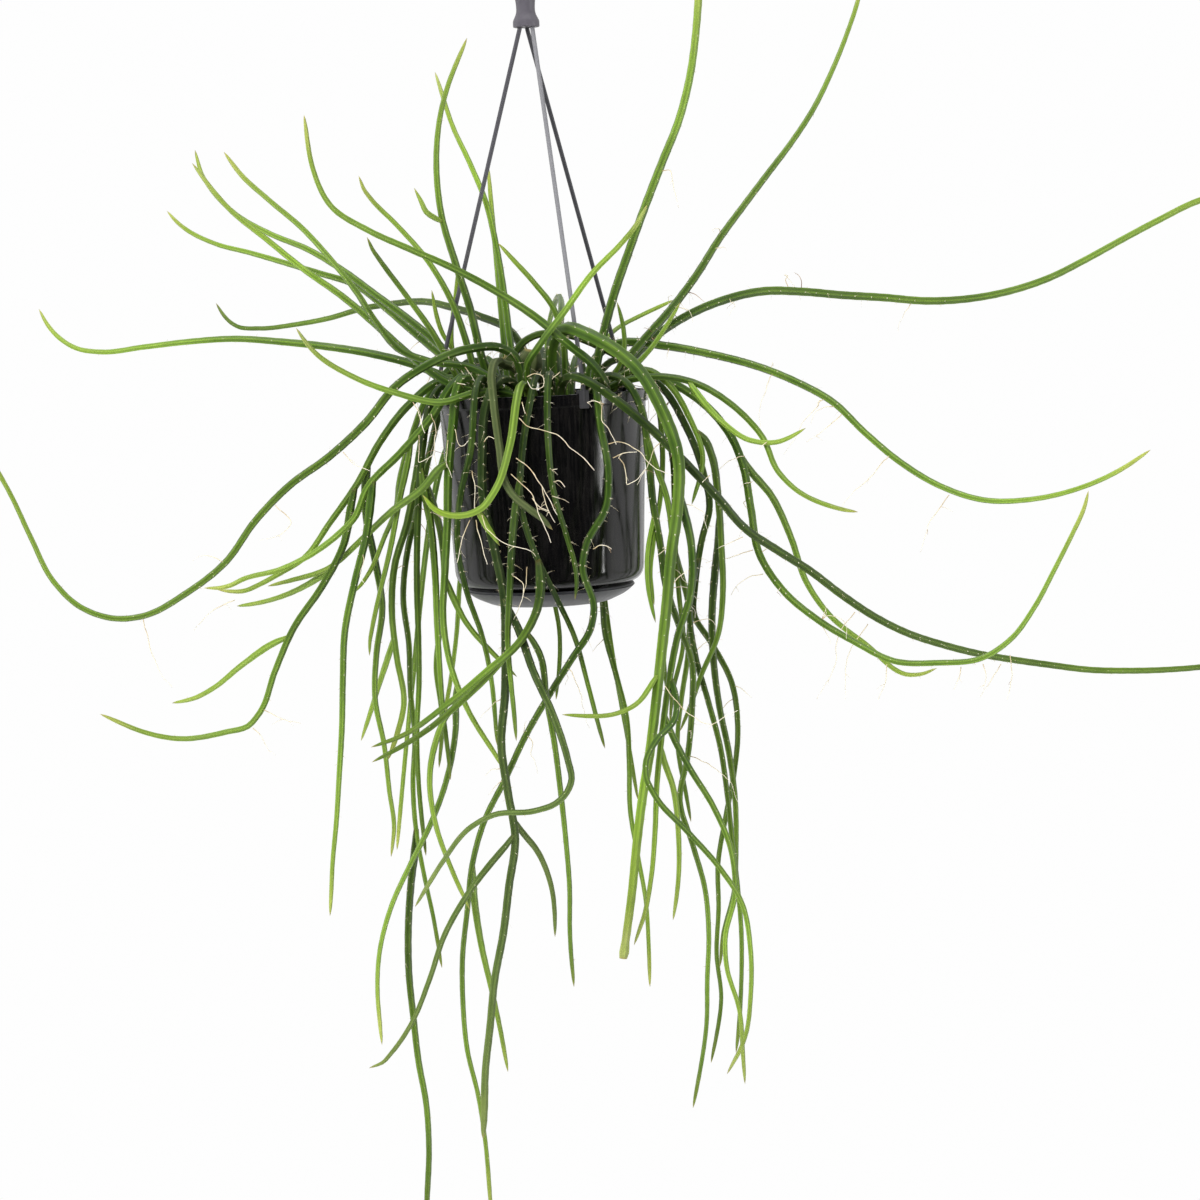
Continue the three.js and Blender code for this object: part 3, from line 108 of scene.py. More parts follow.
lens = bpy.data.cameras.new("camera")
lens.sensor_width = SENSOR
lens.lens = SENSOR * view_reach / PICTURE_SIDE
lens.clip_start = 0.05
lens.clip_end = 60
camera = bpy.data.objects.new("camera", lens)
bpy.context.scene.collection.objects.link(camera)
turned = Matrix((view_right, view_up, -view_ahead)).transposed()
camera.matrix_world = Matrix.Translation(VIEW_EYE) @ turned.to_4x4()
bpy.context.scene.camera = camera
print("lens", round(lens.lens, 1), "mm")


# %% Places in the picture
def in_picture(spots):
    """Where points in metres show in the picture: steps right, steps down, distance ahead."""
    away = np.asarray(spots) - np.array(VIEW_EYE)
    ahead = away @ np.array(view_ahead)
    right = away @ np.array(view_right) / ahead * view_reach + PICTURE_SIDE / 2
    down = PICTURE_SIDE / 2 - away @ np.array(view_up) / ahead * view_reach
    return right, down, ahead


def from_picture(right, down, ahead):
    """The point that shows at a place in the picture, at a distance ahead of the camera."""
    across = (right - PICTURE_SIDE / 2) / view_reach
    above = (PICTURE_SIDE / 2 - down) / view_reach
    ahead = float(ahead)
    return VIEW_EYE + ahead * (view_ahead + across * view_right + above * view_up)


# %% [markdown]
# Colours, nodes and materials
#
# Colours are picked as sRGB hex values, because that is how one reads them from a screen, while the
# shader works in linear light, so one function turns them. Materials are made from nodes, and one
# small function adds a node with its settings and its links. What goes into a node is given by the
# name of each socket, or, for the five kinds used most, as a list in the order of SOCKETS.

# %% Colour and node helpers
SOCKETS = {
    "MapRange": ("Value", "From Min", "From Max", "To Min", "To Max"),
    "Math": (0, 1),
    "Mix": (0, 6, 7),
    "TexNoise": ("Vector", "Scale", "Detail", "Roughness"),
    "ValToRGB": ("Fac",),
}
NOISE_ROUGH = 0.55


def linear(hex_text):
    """An sRGB hex colour such as 4a7c2a as a linear colour with full alpha."""
    parts = [int(hex_text[k:k + 2], 16) / 255 for k in (0, 2, 4)]
    return (*[v / 12.92 if v <= 0.04045 else ((v + 0.055) / 1.055) ** 2.4 for v in parts], 1.0)


def add_node(tree, kind, inputs=None, stops=(), **settings):
    """Adds a shader node. inputs gives its sockets their values, or the nodes that feed them, and
    stops gives a colour ramp its (place, hex colour) pairs."""
    made = tree.nodes.new("ShaderNode" + kind)
    for name, value in settings.items():
        setattr(made, name, value)
    if isinstance(inputs, (list, tuple)):
        inputs = dict(zip(SOCKETS[kind], inputs))
    for socket, value in (inputs or {}).items():
        if isinstance(value, bpy.types.Node):
            value = next(output for output in value.outputs if output.enabled)
        if isinstance(value, bpy.types.NodeSocket):
            tree.links.new(value, made.inputs[socket])
        else:
            made.inputs[socket].default_value = value
    if stops:
        band = made.color_ramp.elements
        while len(band) < len(stops):
            band.new(1.0)
        for stop, (place, hex_text) in zip(band, stops):
            stop.position, stop.color = place, linear(hex_text)
    return made


def new_material(name):
    """An empty material and its node tree."""
    material = bpy.data.materials.new(name)
    material.use_nodes = True
    material.node_tree.nodes.clear()
    return material, material.node_tree


# %% Layers of colour
def layered(tree, colour, layers):
    """Colours laid over a colour one by one, each as (blend, hex colour, mask, ...). A mask is a value,
    the two limits it is read between, and its strength at each of them. Masks are multiplied."""
    for blend, hex_text, *masks in layers:
        share, *more = [add_node(tree, "MapRange", mask) for mask in masks]
        for other in more:
            share = add_node(tree, "Math", [share, other], operation="MULTIPLY")
        pair = [share, colour, linear(hex_text)]
        colour = add_node(tree, "Mix", pair, data_type="RGBA", blend_type=blend)
    return colour


# %% [markdown]
# Meshes
#
# Every piece is a mesh made in code. This helper turns arrays of points and faces into an object,
# parents it to the empty of the body named root, hides the CAD nodes that it takes the place of, and
# shades it smooth unless told otherwise.

# %% Mesh helper
def add_piece(name, points, faces, material, stands_for=(), values=None, smooth=True):
    """A piece from points in metres. values are numbers, or triples, stored for each point."""
    mesh = bpy.data.meshes.new(name)
    mesh.from_pydata(np.asarray(points).tolist(), [], [list(map(int, face)) for face in faces])
    for key, data in (values or {}).items():
        data = np.asarray(data, dtype=np.float32)
        kind, field = ("FLOAT_VECTOR", "vector") if data.ndim == 2 else ("FLOAT", "value")
        mesh.attributes.new(key, kind, "POINT").data.foreach_set(field, data.ravel())
    mesh.polygons.foreach_set("use_smooth", [smooth] * len(mesh.polygons))
    mesh.materials.append(material)
    mesh.update()
    made = bpy.data.objects.new(name, mesh)
    bpy.context.scene.collection.objects.link(made)
    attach(made, "root")
    if stands_for:
        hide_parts(*stands_for)
    return made


# %% [markdown]
# The line of every shoot
#
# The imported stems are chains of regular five-sided rings. Reading those rings back from each node
# gives the exact line and thickness of every shoot, branches too, so the fine stems lie where the
# plain ones do. A corner of a ring and its two neighbours make the corner angle of a pentagon, and
# that is enough to find the ring's centre.

# %% Find the rings
RING_SIDES = 5
RING_ANGLE = math.radians(180 - 360 / RING_SIDES)
RING_LIFT = 1 / (1 - math.cos(2 * math.pi / RING_SIDES))
SAME_PLACE = 0.04
LEAST_SIDE = 0.3
SIDE_SLACK, SIDE_SLACK_SHARE = 0.004, 0.002
ANGLE_SLACK = 0.006
JOINING_EDGES = 3


def unit(way):
    """A direction at length one."""
    return way / np.linalg.norm(way)


def corners_of(node):
    """A node's corners in millimetres, each once, with the corners that share an edge with it."""
    mesh = nodes[node].data
    spots = np.empty(len(mesh.vertices) * 3)
    mesh.vertices.foreach_get("co", spots)
    spots = spots.reshape(-1, 3) / MM
    _, first, place = np.unique(np.round(spots, 3), axis=0, return_index=True, return_inverse=True)
    place = place.ravel()
    near = [set() for _ in first]
    for face in mesh.polygons:
        around = [int(place[v]) for v in face.vertices]
        for corner in around:
            near[corner].update(other for other in around if other != corner)
    return spots[first], near


def rings_of(corners, near):
    """Every ring among the corners, as (centre, radius, set of corners)."""
    found = []
    for corner, around in enumerate(near):
        for one, other in itertools.combinations(sorted(around), 2):
            p = corners[one] - corners[corner]
            q = corners[other] - corners[corner]
            long_p, long_q = np.linalg.norm(p), np.linalg.norm(q)
            if long_p < LEAST_SIDE or abs(long_p - long_q) > SIDE_SLACK + SIDE_SLACK_SHARE * long_p:
                continue
            angle = math.acos(max(-1.0, min(1.0, p @ q / long_p / long_q)))
            if abs(angle - RING_ANGLE) > ANGLE_SLACK:
                continue
            centre = corners[corner] + (p + q) / 2 * RING_LIFT
            radius = long_p / (2 * math.sin(math.pi / RING_SIDES))
            found.append((centre, radius, {corner, one, other}))
    tree = KDTree(len(found))
    for index, (centre, _, _) in enumerate(found):
        tree.insert(centre, index)
    tree.balance()
    rings, used = [], set()
    for index, (centre, radius, _) in enumerate(found):
        if index in used:
            continue
        group = [hit[1] for hit in tree.find_range(centre, SAME_PLACE)]
        used.update(group)
        if len(group) > 1:
            rings.append((centre, radius, set().union(*[found[k][2] for k in group])))
    return rings


def chains_of(rings, near):
    """The rings in order along each shoot. Two rings are neighbours if enough edges join them, and
    a ring where a branch starts keeps the two neighbours that lie straightest."""
    owner = {corner: index for index, ring in enumerate(rings) for corner in ring[2]}
    shared = {}
    for corner, index in owner.items():
        for other in near[corner]:
            if owner.get(other, index) != index:
                shared[index, owner[other]] = shared.get((index, owner[other]), 0) + 1
    linked = {index: set() for index in range(len(rings))}
    for (one, other), count in shared.items():
        if count >= JOINING_EDGES:
            linked[one].add(other)
            linked[other].add(one)
    for index, others in linked.items():
        if len(others) > 2:
            ways = {k: unit(rings[k][0] - rings[index][0]) for k in others}
            pairs = itertools.combinations(sorted(others), 2)
            kept = min(pairs, key=lambda pair: ways[pair[0]] @ ways[pair[1]])
            for other in others.difference(kept):
                linked[other].discard(index)
            linked[index] = set(kept)
    chains, seen = [], set()
    for start in sorted(linked):
        if start in seen or len(linked[start]) != 1:
            continue
        chain = [start]
        while True:
            seen.add(chain[-1])
            ahead = [k for k in sorted(linked[chain[-1]]) if k not in seen]
            if not ahead:
                break
            chain.append(ahead[0])
        chains.append([rings[k] for k in chain])
    return chains


stem_chains = {}
for stem in stem_names:
    stem_corners, stem_near = corners_of(stem)
    stem_chains[stem] = chains_of(rings_of(stem_corners, stem_near), stem_near)
print("shoots:", sum(len(chains) for chains in stem_chains.values()))

# %% [markdown]
# From rings to smooth lines
#
# The trunk of each stem starts down in its hole in the soil. A branch starts inside its trunk, where
# its first ring was lost when the two were fused, so the branch's line is carried on to the trunk's.
# A tip's last rings get thinner, which tells its two ends apart. A smooth curve is then drawn
# through the rings with a point about every three millimetres.

# %% Order the shoots and close their ends
SOIL_TOP, SOIL_REACH = -260 * MM, 52 * MM
LEAST_DEPTH, MOST_DEPTH = 8 * MM, 90 * MM
TAPERED = 0.2
BLUNT_RATIO, BLUNT_BEYOND, BLUNT_END = 0.8, 0.5, 0.9
TIP_BEYOND, TIP_RADIUS = 2.56, 0.06
LINE_STEP = 2.9


def smooth_line(points, step=LINE_STEP):
    """A smooth curve through rows of (x, y, z, ...) in millimetres, with a point every step."""
    points = np.asarray(points, dtype=float)
    gaps = np.linalg.norm(np.diff(points[:, :3], axis=0), axis=1)
    slopes = np.diff(points, axis=0) / gaps[:, None]
    tangents = np.empty_like(points)
    tangents[0], tangents[-1] = slopes[0], slopes[-1]
    before, after = gaps[:-1, None], gaps[1:, None]
    tangents[1:-1] = (slopes[:-1] * after + slopes[1:] * before) / (before + after)
    rows = []
    for k, gap in enumerate(gaps):
        count = max(1, int(round(gap / step)))
        t = (np.arange(count) / count)[:, None]
        rows.append(
            points[k] * (2 * t**3 - 3 * t**2 + 1) + points[k + 1] * (3 * t**2 - 2 * t**3)
            + gap * (tangents[k] * (t**3 - 2 * t**2 + t) + tangents[k + 1] * (t**3 - t**2))
        )
    return np.vstack([*rows, points[-1:]])


def ends_in_soil(chain):
    """True if a chain's first ring lies in the soil, and not below the pot."""
    centre = chain[0][0] * MM
    deep = SOIL_TOP - centre[2]
    return LEAST_DEPTH < deep < MOST_DEPTH and math.hypot(centre[0], centre[1]) < SOIL_REACH


def trunk_and_branches(chains):
    """The chains with their roots first: the trunk, then its branches."""
    trunk, branches = None, []
    for chain in chains:
        if trunk is None and (ends_in_soil(chain) or ends_in_soil(chain[::-1])):
            trunk = chain if ends_in_soil(chain) else chain[::-1]
        else:
            branches.append(chain)
    turned_round = []
    for chain in branches:
        first, last = chain[0], chain[-1]
        if abs(first[1] - last[1]) > TAPERED * max(first[1], last[1]):
            turned_round.append(chain if first[1] > last[1] else chain[::-1])
            continue
        others = np.array([ring[0] for other in chains if other is not chain for ring in other])
        away = [np.linalg.norm(others - end[0], axis=1).min() for end in (first, last)]
        turned_round.append(chain if away[0] < away[1] else chain[::-1])
    return trunk, turned_round


def rows_of(chain):
    """A chain's rings as rows of (x, y, z, radius), in millimetres, with the tip's point added."""
    rows = [[*centre, radius] for centre, radius, _ in chain]
    heading = unit(chain[-1][0] - chain[-2][0])
    last = chain[-1][1]
    blunt = last > BLUNT_RATIO * chain[-2][1]
    beyond = BLUNT_BEYOND if blunt else TIP_BEYOND
    rows.append([*(chain[-1][0] + heading * beyond), BLUNT_END * last if blunt else TIP_RADIUS])
    return rows


# %% Join the branches
BACK_REACH, BACK_STEP, CLEARLY_NEARER = 26.0, 1.0, 0.05
TOUCHING, DEEP_INSIDE = 1.0, 9.0
NECK_AT, NECK_START, NECK_END = 5.0, 0.72, 0.88


def joined_to(rows, lines):
    """Carries a branch back to the line that it grows from, a little thinner on the way."""
    start = np.array(rows[0][:3])
    back = unit(start - np.array(rows[1][:3]))
    nearest, meets = math.inf, None
    others = np.vstack(lines)
    for reach in np.arange(0.0, BACK_REACH, BACK_STEP):
        away = np.linalg.norm(others[:, :3] - (start + back * reach), axis=1)
        closest = int(away.argmin())
        if away[closest] < nearest - CLEARLY_NEARER:
            nearest, meets = away[closest], others[closest]
    way = start - meets[:3]
    far = np.linalg.norm(way)
    if far < TOUCHING:
        return rows
    radius = rows[0][3]
    added = [[*meets[:3], radius * NECK_START]]
    if far > DEEP_INSIDE:
        added.append([*(meets[:3] + way * (NECK_AT / far)), radius * NECK_END])
    return added + rows


shoots = []
for stem in stem_names:
    trunk, branches = trunk_and_branches(stem_chains[stem])
    if trunk is None:
        print("no trunk found in", stem)
        continue
    lines = [smooth_line(rows_of(trunk))]
    shoots.append({"stem": stem, "line": lines[0], "branch": False})
    waiting = list(branches)
    while waiting:
        reach = []
        for chain in waiting:
            others = np.vstack(lines)
            reach.append(np.linalg.norm(others[:, :3] - chain[0][0], axis=1).min())
        chain = waiting.pop(int(np.argmin(reach)))
        line = smooth_line(joined_to(rows_of(chain), lines))
        lines.append(line)
        shoots.append({"stem": stem, "line": line, "branch": True})
total = sum(np.linalg.norm(np.diff(s["line"][:, :3], axis=0), axis=1).sum() for s in shoots)
print(len(shoots), "shoots,", round(total / 1000, 1), "m in all")

# %% [markdown]
# The ribbed skin
#
# A cut through a stem of this cactus is a round core with low narrow ribs. Each rib is drawn with a
# crest, two shoulders and a valley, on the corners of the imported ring. Along each crest, an
# areole sits every nine millimetres or so, and the crest swells a little under it. Numbers
# stored on the mesh tell the material where it is: on a crest or in a valley, near the root or the
# tip, and where along the straightened stem.

# %% Frames along a shoot
FIRST_SIDE = np.array([1.0, 0.2, 0.0])


def frames_along(line):
    """Distance along, heading, and two directions across, for each point of a line."""
    spots = line[:, :3]
    gaps = np.linalg.norm(np.diff(spots, axis=0), axis=1)
    along = np.concatenate([[0.0], np.cumsum(gaps)])
    heading = np.gradient(spots, axis=0)
    heading /= np.linalg.norm(heading, axis=1)[:, None]
    side, sides = FIRST_SIDE, []
    for ahead in heading:
        side = unit(side - ahead * (side @ ahead))
        sides.append(side)
    sides = np.array(sides)
    return along, heading, sides, np.cross(heading, sides)


def ring_ways(angles, side, across):
    """The ways outward at some angles, round each point of a line."""
    return (
        np.cos(angles)[None, :, None] * side[:, None, :]
        + np.sin(angles)[None, :, None] * across[:, None, :]
    )


def ring_faces(count, sides):
    """The faces of a closed tube with so many rings, and one face at each end."""
    index = np.arange(count * sides).reshape(count, sides)
    low, high = index[:-1], index[1:]
    faces = np.stack([low, np.roll(low, -1, 1), np.roll(high, -1, 1), high], axis=-1).reshape(-1, 4)
    return faces.tolist() + [index[0][::-1].tolist(), index[-1].tolist()]


# %% Ribs and areoles in numbers
AREOLE_PITCH, AREOLE_JITTER, AREOLE_STAGGER = 9.0, 1.7, 0.38
FIRST_AREOLE = (3, 9)
CREST_SWELL = 0.05
RIB_ANGLES = [0.0, 13.0, 36.0, 59.0]
RIB_HEIGHTS = [0.97, 0.88, 0.79, 0.88]
RIB_MARKS = [1.0, 0.45, 0.0, 0.45]
GIRTH, GIRTH_WANDER, WANDER_LENGTH, WANDER_APART = 0.975, 0.025, 34, 7.3

draw = random.Random(31)
for number, shoot in enumerate(shoots):
    shoot["along"], shoot["heading"], shoot["side"], shoot["across"] = frames_along(shoot["line"])
    shoot["first_areole"] = draw.uniform(*FIRST_AREOLE)
    shoot["shade"] = draw.random()
    shoot["number"] = number
print("ribs:", RING_SIDES, "each with an areole every", AREOLE_PITCH, "mm")

# %% [markdown]
# How old the skin is, and painted shade near the pot
#
# A shoot is youngest in its last 150 mm. A short branch is young all along. Whatever lies near the pot
# is darker, partly as old skin and partly as painted shade among the crowded stems. The short stems that
# hang in front of the pot count as old as far as its lower edge, and get more painted shade.

# %% Age of the skin
FRESH_REACH, FRESH_BEND = 150.0, 1.7
LENGTH_SHARE, FRESH_SHARE = 0.4, 0.6
GROWN_LENGTH, LEAST_WHOLE, YOUNG_BRANCH = 260, 0.35, 0.8
POT_MIDDLE = np.array([0.0, 0.0, -305.0])
# Skin near the pot is made darker, partly for its age and partly as painted shade.
AGE_AND_SHADE_REACH, AGE_AND_SHADE_FADE, AGE_AND_SHADE_BASE, AGE_AND_SHADE_GAIN = 62.0, 100.0, 0.5, 0.5
OLD_AND_SHADED_IN_FRONT = {"stem_front_02", "stem_front_03", "stem_front_04", "stem_front_05", "stem_front_06"}
FRONT_REACH, FRONT_AGE_AND_SHADE_FADE, FRONT_AGE_AND_SHADE_BASE, FRONT_AGE_AND_SHADE_GAIN = 95.0, 50.0, 0.2, 0.8


def age_and_shade_along(shoot):
    """How fresh the skin is at each point of a shoot's line, from 0 for old to 1 for new, made lower
    near the pot by painted shade.
    """
    along, length = shoot["along"], shoot["along"][-1]
    fresh = (1 - np.clip((length - along) / FRESH_REACH, 0, 1)) ** FRESH_BEND
    whole = np.clip(length / GROWN_LENGTH, LEAST_WHOLE, 1) if shoot["branch"] else 1.0
    age_and_shade = np.clip(along / max(length, 1) * LENGTH_SHARE + fresh * FRESH_SHARE, 0, 1)
    age_and_shade = age_and_shade * whole + (1 - whole) * YOUNG_BRANCH
    # Painted shade: skin near the pot is darkened on top of its age, and more on the stems in front of it.
    away = np.linalg.norm(shoot["line"][:, :3] - POT_MIDDLE, axis=1)
    age_and_shade *= AGE_AND_SHADE_BASE + AGE_AND_SHADE_GAIN * np.clip((away - AGE_AND_SHADE_REACH) / AGE_AND_SHADE_FADE, 0, 1)
    if shoot["stem"] in OLD_AND_SHADED_IN_FRONT:
        age_and_shade *= FRONT_AGE_AND_SHADE_BASE + FRONT_AGE_AND_SHADE_GAIN * np.clip((away - FRONT_REACH) / FRONT_AGE_AND_SHADE_FADE, 0, 1)
    return age_and_shade


# %% Skin of one shoot
SKINS_APART = 613.0
JOINT_FADE = 3.5
BLUNT_RADIUS, BLUNT_TIP_FAR = 1, 3.0


def skin_of(shoot):
    """Points, faces and stored numbers of one shoot's ribbed skin, in millimetres."""
    line, along = shoot["line"], shoot["along"]
    count, length = len(line), along[-1]
    lane = shoot["number"] * WANDER_APART
    wander = [noise.noise(Vector((s / WANDER_LENGTH, lane, 0))) for s in along]
    radius = line[:, 3] * (GIRTH + GIRTH_WANDER * np.array(wander))
    angles, heights, marks = [], [], []
    for rib in range(RING_SIDES):
        beat = (along - shoot["first_areole"]) / AREOLE_PITCH - rib * AREOLE_STAGGER
        swell = CREST_SWELL * (0.5 + 0.5 * np.cos(2 * math.pi * beat))
        for angle, height, mark in zip(RIB_ANGLES, RIB_HEIGHTS, RIB_MARKS):
            angles.append(math.radians(angle + rib * 360 / RING_SIDES))
            heights.append(height + (swell - CREST_SWELL / 2) * mark)
            marks.append(mark)
    sides = len(angles)
    out = radius[:, None] * np.array(heights).T
    points = line[:, None, :3] + out[:, :, None] * ring_ways(angles, shoot["side"], shoot["across"])
    joint = np.exp(-along / JOINT_FADE) if shoot["branch"] else np.zeros(count)
    to_tip = (length - along) * MM * (BLUNT_TIP_FAR if radius[-1] > BLUNT_RADIUS else 1.0)
    straight = np.stack([
        np.outer(radius, np.cos(angles)), np.outer(radius, np.sin(angles)),
        np.repeat(along[:, None], sides, 1) + shoot["number"] * SKINS_APART,
    ], axis=-1)
    numbers = {
        "age_and_shade": np.repeat(age_and_shade_along(shoot), sides), "rib": np.tile(marks, count),
        "joint": np.repeat(joint, sides), "to_tip": np.repeat(to_tip, sides),
        "shade": np.full(count * sides, shoot["shade"]), "skin": straight.reshape(-1, 3) * MM,
    }
    return points.reshape(-1, 3), ring_faces(count, sides), numbers


# %% [markdown]
# The colour of the skin
#
# The living skin of this cactus is firm, waxy and a little shiny. Old skin is dark green, young skin
# is a light yellow green, and the growing point is pale with a tan end. A painted highlight runs as a
# light line along each rib crest, and painted shade darkens the valleys. Faint lengthwise streaks,
# pale flecks of cork and a thin bloom of wax break the colour up. All of it is nodes on stored numbers.
# The streaks and the grain are finer on the real plant, and are drawn as coarse as they need to show.

# %% Stem skins
AGE_PATCH, MOTTLE_PATCH, WAX_PATCH = 40 * MM, 7 * MM, 18 * MM
CORK_FLECK, SKIN_STREAK, SKIN_GRAIN = 1.6 * MM, 0.9 * MM, 0.35 * MM
FLECK_STRETCH, STREAK_STRETCH = (1.0, 1.0, 0.45), (1.0, 1.0, 0.06)
# The valley green is painted shade laid into the rib valleys.
PAINTED_VALLEY_SHADE, STREAK_GREEN = "1b2f11", "1d3510"
CORK, WAX_BLOOM, JOINT_BARK, TIP_TAN = "8a8461", "8f9a78", "6d6238", "a08c56"


def cactus_skin(name, root, body, young, tip, crest, cork=0.3, rough=0.4):
    """Waxy cactus skin, from the colours of its root end, body, young part and tip, and of the painted
    highlight along its rib crests, which also lightens the mottle.
    """
    material, tree = new_material(name)
    place = add_node(tree, "Attribute", attribute_name="skin").outputs["Vector"]
    age_and_shade, rib, joint, to_tip, shade = [
        add_node(tree, "Attribute", attribute_name=stored).outputs["Fac"]
        for stored in ("age_and_shade", "rib", "joint", "to_tip", "shade")
    ]
    patch = add_node(tree, "TexNoise", [place, 1 / AGE_PATCH, 2.0, NOISE_ROUGH])
    mottle = add_node(tree, "TexNoise", [place, 1 / MOTTLE_PATCH, 4.0, NOISE_ROUGH])
    bloom = add_node(tree, "TexNoise", [place, 1 / WAX_PATCH, 3.0, NOISE_ROUGH])
    grain = add_node(tree, "TexNoise", [place, 1 / SKIN_GRAIN, 3.0, NOISE_ROUGH])
    longer = add_node(tree, "Mapping", {"Vector": place, "Scale": STREAK_STRETCH})
    streak = add_node(tree, "TexNoise", [longer, 1 / SKIN_STREAK, 2.0, NOISE_ROUGH])
    longer = add_node(tree, "Mapping", {"Vector": place, "Scale": FLECK_STRETCH})
    flecks = add_node(tree, "TexNoise", [longer, 1 / CORK_FLECK, 5.0, 0.7])

    drift = add_node(tree, "MapRange", [patch, 0.3, 0.7, -0.08, 0.08])
    life = add_node(tree, "Math", [age_and_shade, drift])
    green = add_node(tree, "ValToRGB", [life], stops=[(0.0, root), (0.42, body), (0.8, young), (1.0, tip)])
    # Painted shade darkens the rib valleys, and a painted highlight lightens the rib crests.
    green = layered(tree, green, [
        ("MIX", PAINTED_VALLEY_SHADE, (rib, 0.0, 0.6, 1.0, 0.0), (age_and_shade, 0.1, 0.8, 0.6, 0.2)),
        ("MIX", crest, (rib, 0.8, 1.0, 0.0, 1.0), (age_and_shade, 0.0, 0.8, 0.34, 0.3)),
        ("SOFT_LIGHT", crest, (mottle, 0.35, 0.75, 0.0, 0.35)),
        ("MIX", STREAK_GREEN, (streak, 0.45, 0.75, 0.0, 0.28)),
    ])
    lighter = add_node(tree, "MapRange", [shade, 0.0, 1.0, 0.82, 1.12])
    green = add_node(tree, "HueSaturation", {"Color": green, "Value": lighter})
    green = layered(tree, green, [
        ("MIX", CORK, (flecks, 0.6, 0.72, 0.0, cork), (age_and_shade, 0.1, 0.55, 1.0, 0.1)),
        ("MIX", WAX_BLOOM, (bloom, 0.45, 0.8, 0.0, 0.08)),
        ("MIX", JOINT_BARK, (joint, 0.25, 0.9, 0.0, 0.55)),
        ("MIX", TIP_TAN, (to_tip, 0.5 * MM, 4 * MM, 0.6, 0.0)),
    ])
    relief = add_node(tree, "Math", [grain, streak])
    shader = add_node(tree, "BsdfPrincipled", {
        "Base Color": green, "IOR": 1.45, "Specular IOR Level": 0.32,
        "Roughness": add_node(tree, "MapRange", [mottle, 0.3, 0.8, rough - 0.06, rough + 0.14]),
        "Normal": add_node(tree, "Bump", {"Height": relief, "Strength": 0.25, "Distance": 0.12 * MM}),
    })
    add_node(tree, "OutputMaterial", {"Surface": shader})
    return material


# The last colour of each skin is the painted highlight along its rib crests.
skins = {
    "stem_old_green": cactus_skin(
        "old cactus skin", "26380f", "769435", "5f782d", "768439", "7c9848", cork=0.4),
    "stem_mid_green": cactus_skin(
        "grown cactus skin", "3b561b", "83a240", "8ca443", "b4b962", "98b258"),
    "stem_fresh_green": cactus_skin(
        "young cactus skin", "3d5a20", "8eae40", "8a9e42", "a8b066", "9cb85c", cork=0.2),
    "stem_yellow_green": cactus_skin(
        "new cactus skin", "76933c", "8aa843", "98b436", "acc544", "b4c86c", cork=0.1),
    "stem_grey_green": cactus_skin(
        "weathered cactus skin", "303f1e", "667b3e", "728445", "909d54", "7a8c4e", cork=0.5, rough=0.5),
    "stem_woody": cactus_skin(
        "corky old base", "5c6640", "555f3a", "474d31", "4b4c32", "767a56", cork=0.9, rough=0.7),
}
print(len(skins), "kinds of stem skin")

# %% Dress every stem
skin_faces = 0
for stem in stem_names:
    own = [shoot for shoot in shoots if shoot["stem"] == stem]
    points, faces, numbers, start = [], [], {}, 0
    for shoot in own:
        new_points, new_faces, new_numbers = skin_of(shoot)
        points.append(new_points * MM)
        faces += [[v + start for v in face] for face in new_faces]
        for key, data in new_numbers.items():
            numbers.setdefault(key, []).append(data)
        start += len(new_points)
    numbers = {key: np.concatenate(data) for key, data in numbers.items()}
    slot = finish_slot[stem]
    add_piece(stem + "_skin", np.vstack(points), faces, skins[slot], [stem], numbers)
    skin_faces += len(faces) * 2
print("stem skins:", skin_faces, "triangles")

# %% [markdown]
# Areoles and bristles
#
# An areole is the small woolly cushion that a cactus grows its bristles from. Here each is a low
# off-white dome on the crest of a rib. Real bristles are 0.05 mm thick, which a picture of this size
# can't show, so they are drawn about three times as thick. Old stems near the pot carry more and
# longer ones. Some areoles are left out, most of them on young skin, where the wool shows least.

# %% Places of the areoles
AREOLES_SHOWN, YOUNG_SHOWN, AGE_SHOWN = 0.75, 0.35, 0.65
TIP_BARE, ROOT_BARE = 7, 5
SHORT_SHOOT, SHORT_AGE = 120, 0.6
AREOLE_SEAT = 0.965

draw = random.Random(57)
areoles = []
for shoot in shoots:
    line, along = shoot["line"], shoot["along"]
    length = along[-1]
    for rib in range(RING_SIDES):
        angle = 2 * math.pi * rib / RING_SIDES
        at = shoot["first_areole"] + rib * AREOLE_STAGGER * AREOLE_PITCH
        while at < length - TIP_BARE:
            spot = int(np.searchsorted(along, at))
            share = (at - along[spot - 1]) / (along[spot] - along[spot - 1]) if spot else 0.0
            here = line[spot] * share + line[spot - 1] * (1 - share)
            out = math.cos(angle) * shoot["side"][spot] + math.sin(angle) * shoot["across"][spot]
            age = min(1.0, (length - at) / GROWN_LENGTH) * (1.0 if length > SHORT_SHOOT else SHORT_AGE)
            if shoot["stem"] in OLD_AND_SHADED_IN_FRONT and np.linalg.norm(here[:3] - POT_MIDDLE) < FRONT_REACH:
                age = 1.0
            if at > ROOT_BARE and draw.random() < AREOLES_SHOWN * (YOUNG_SHOWN + AGE_SHOWN * age):
                seat = here[:3] + out * here[3] * AREOLE_SEAT
                areoles.append((seat, out, shoot["heading"][spot], age, here[3]))
            at += AREOLE_PITCH + draw.uniform(-AREOLE_JITTER, AREOLE_JITTER)
print(len(areoles), "areoles")

# %% Areole wool
WOOL_TUFT = 0.5 * MM

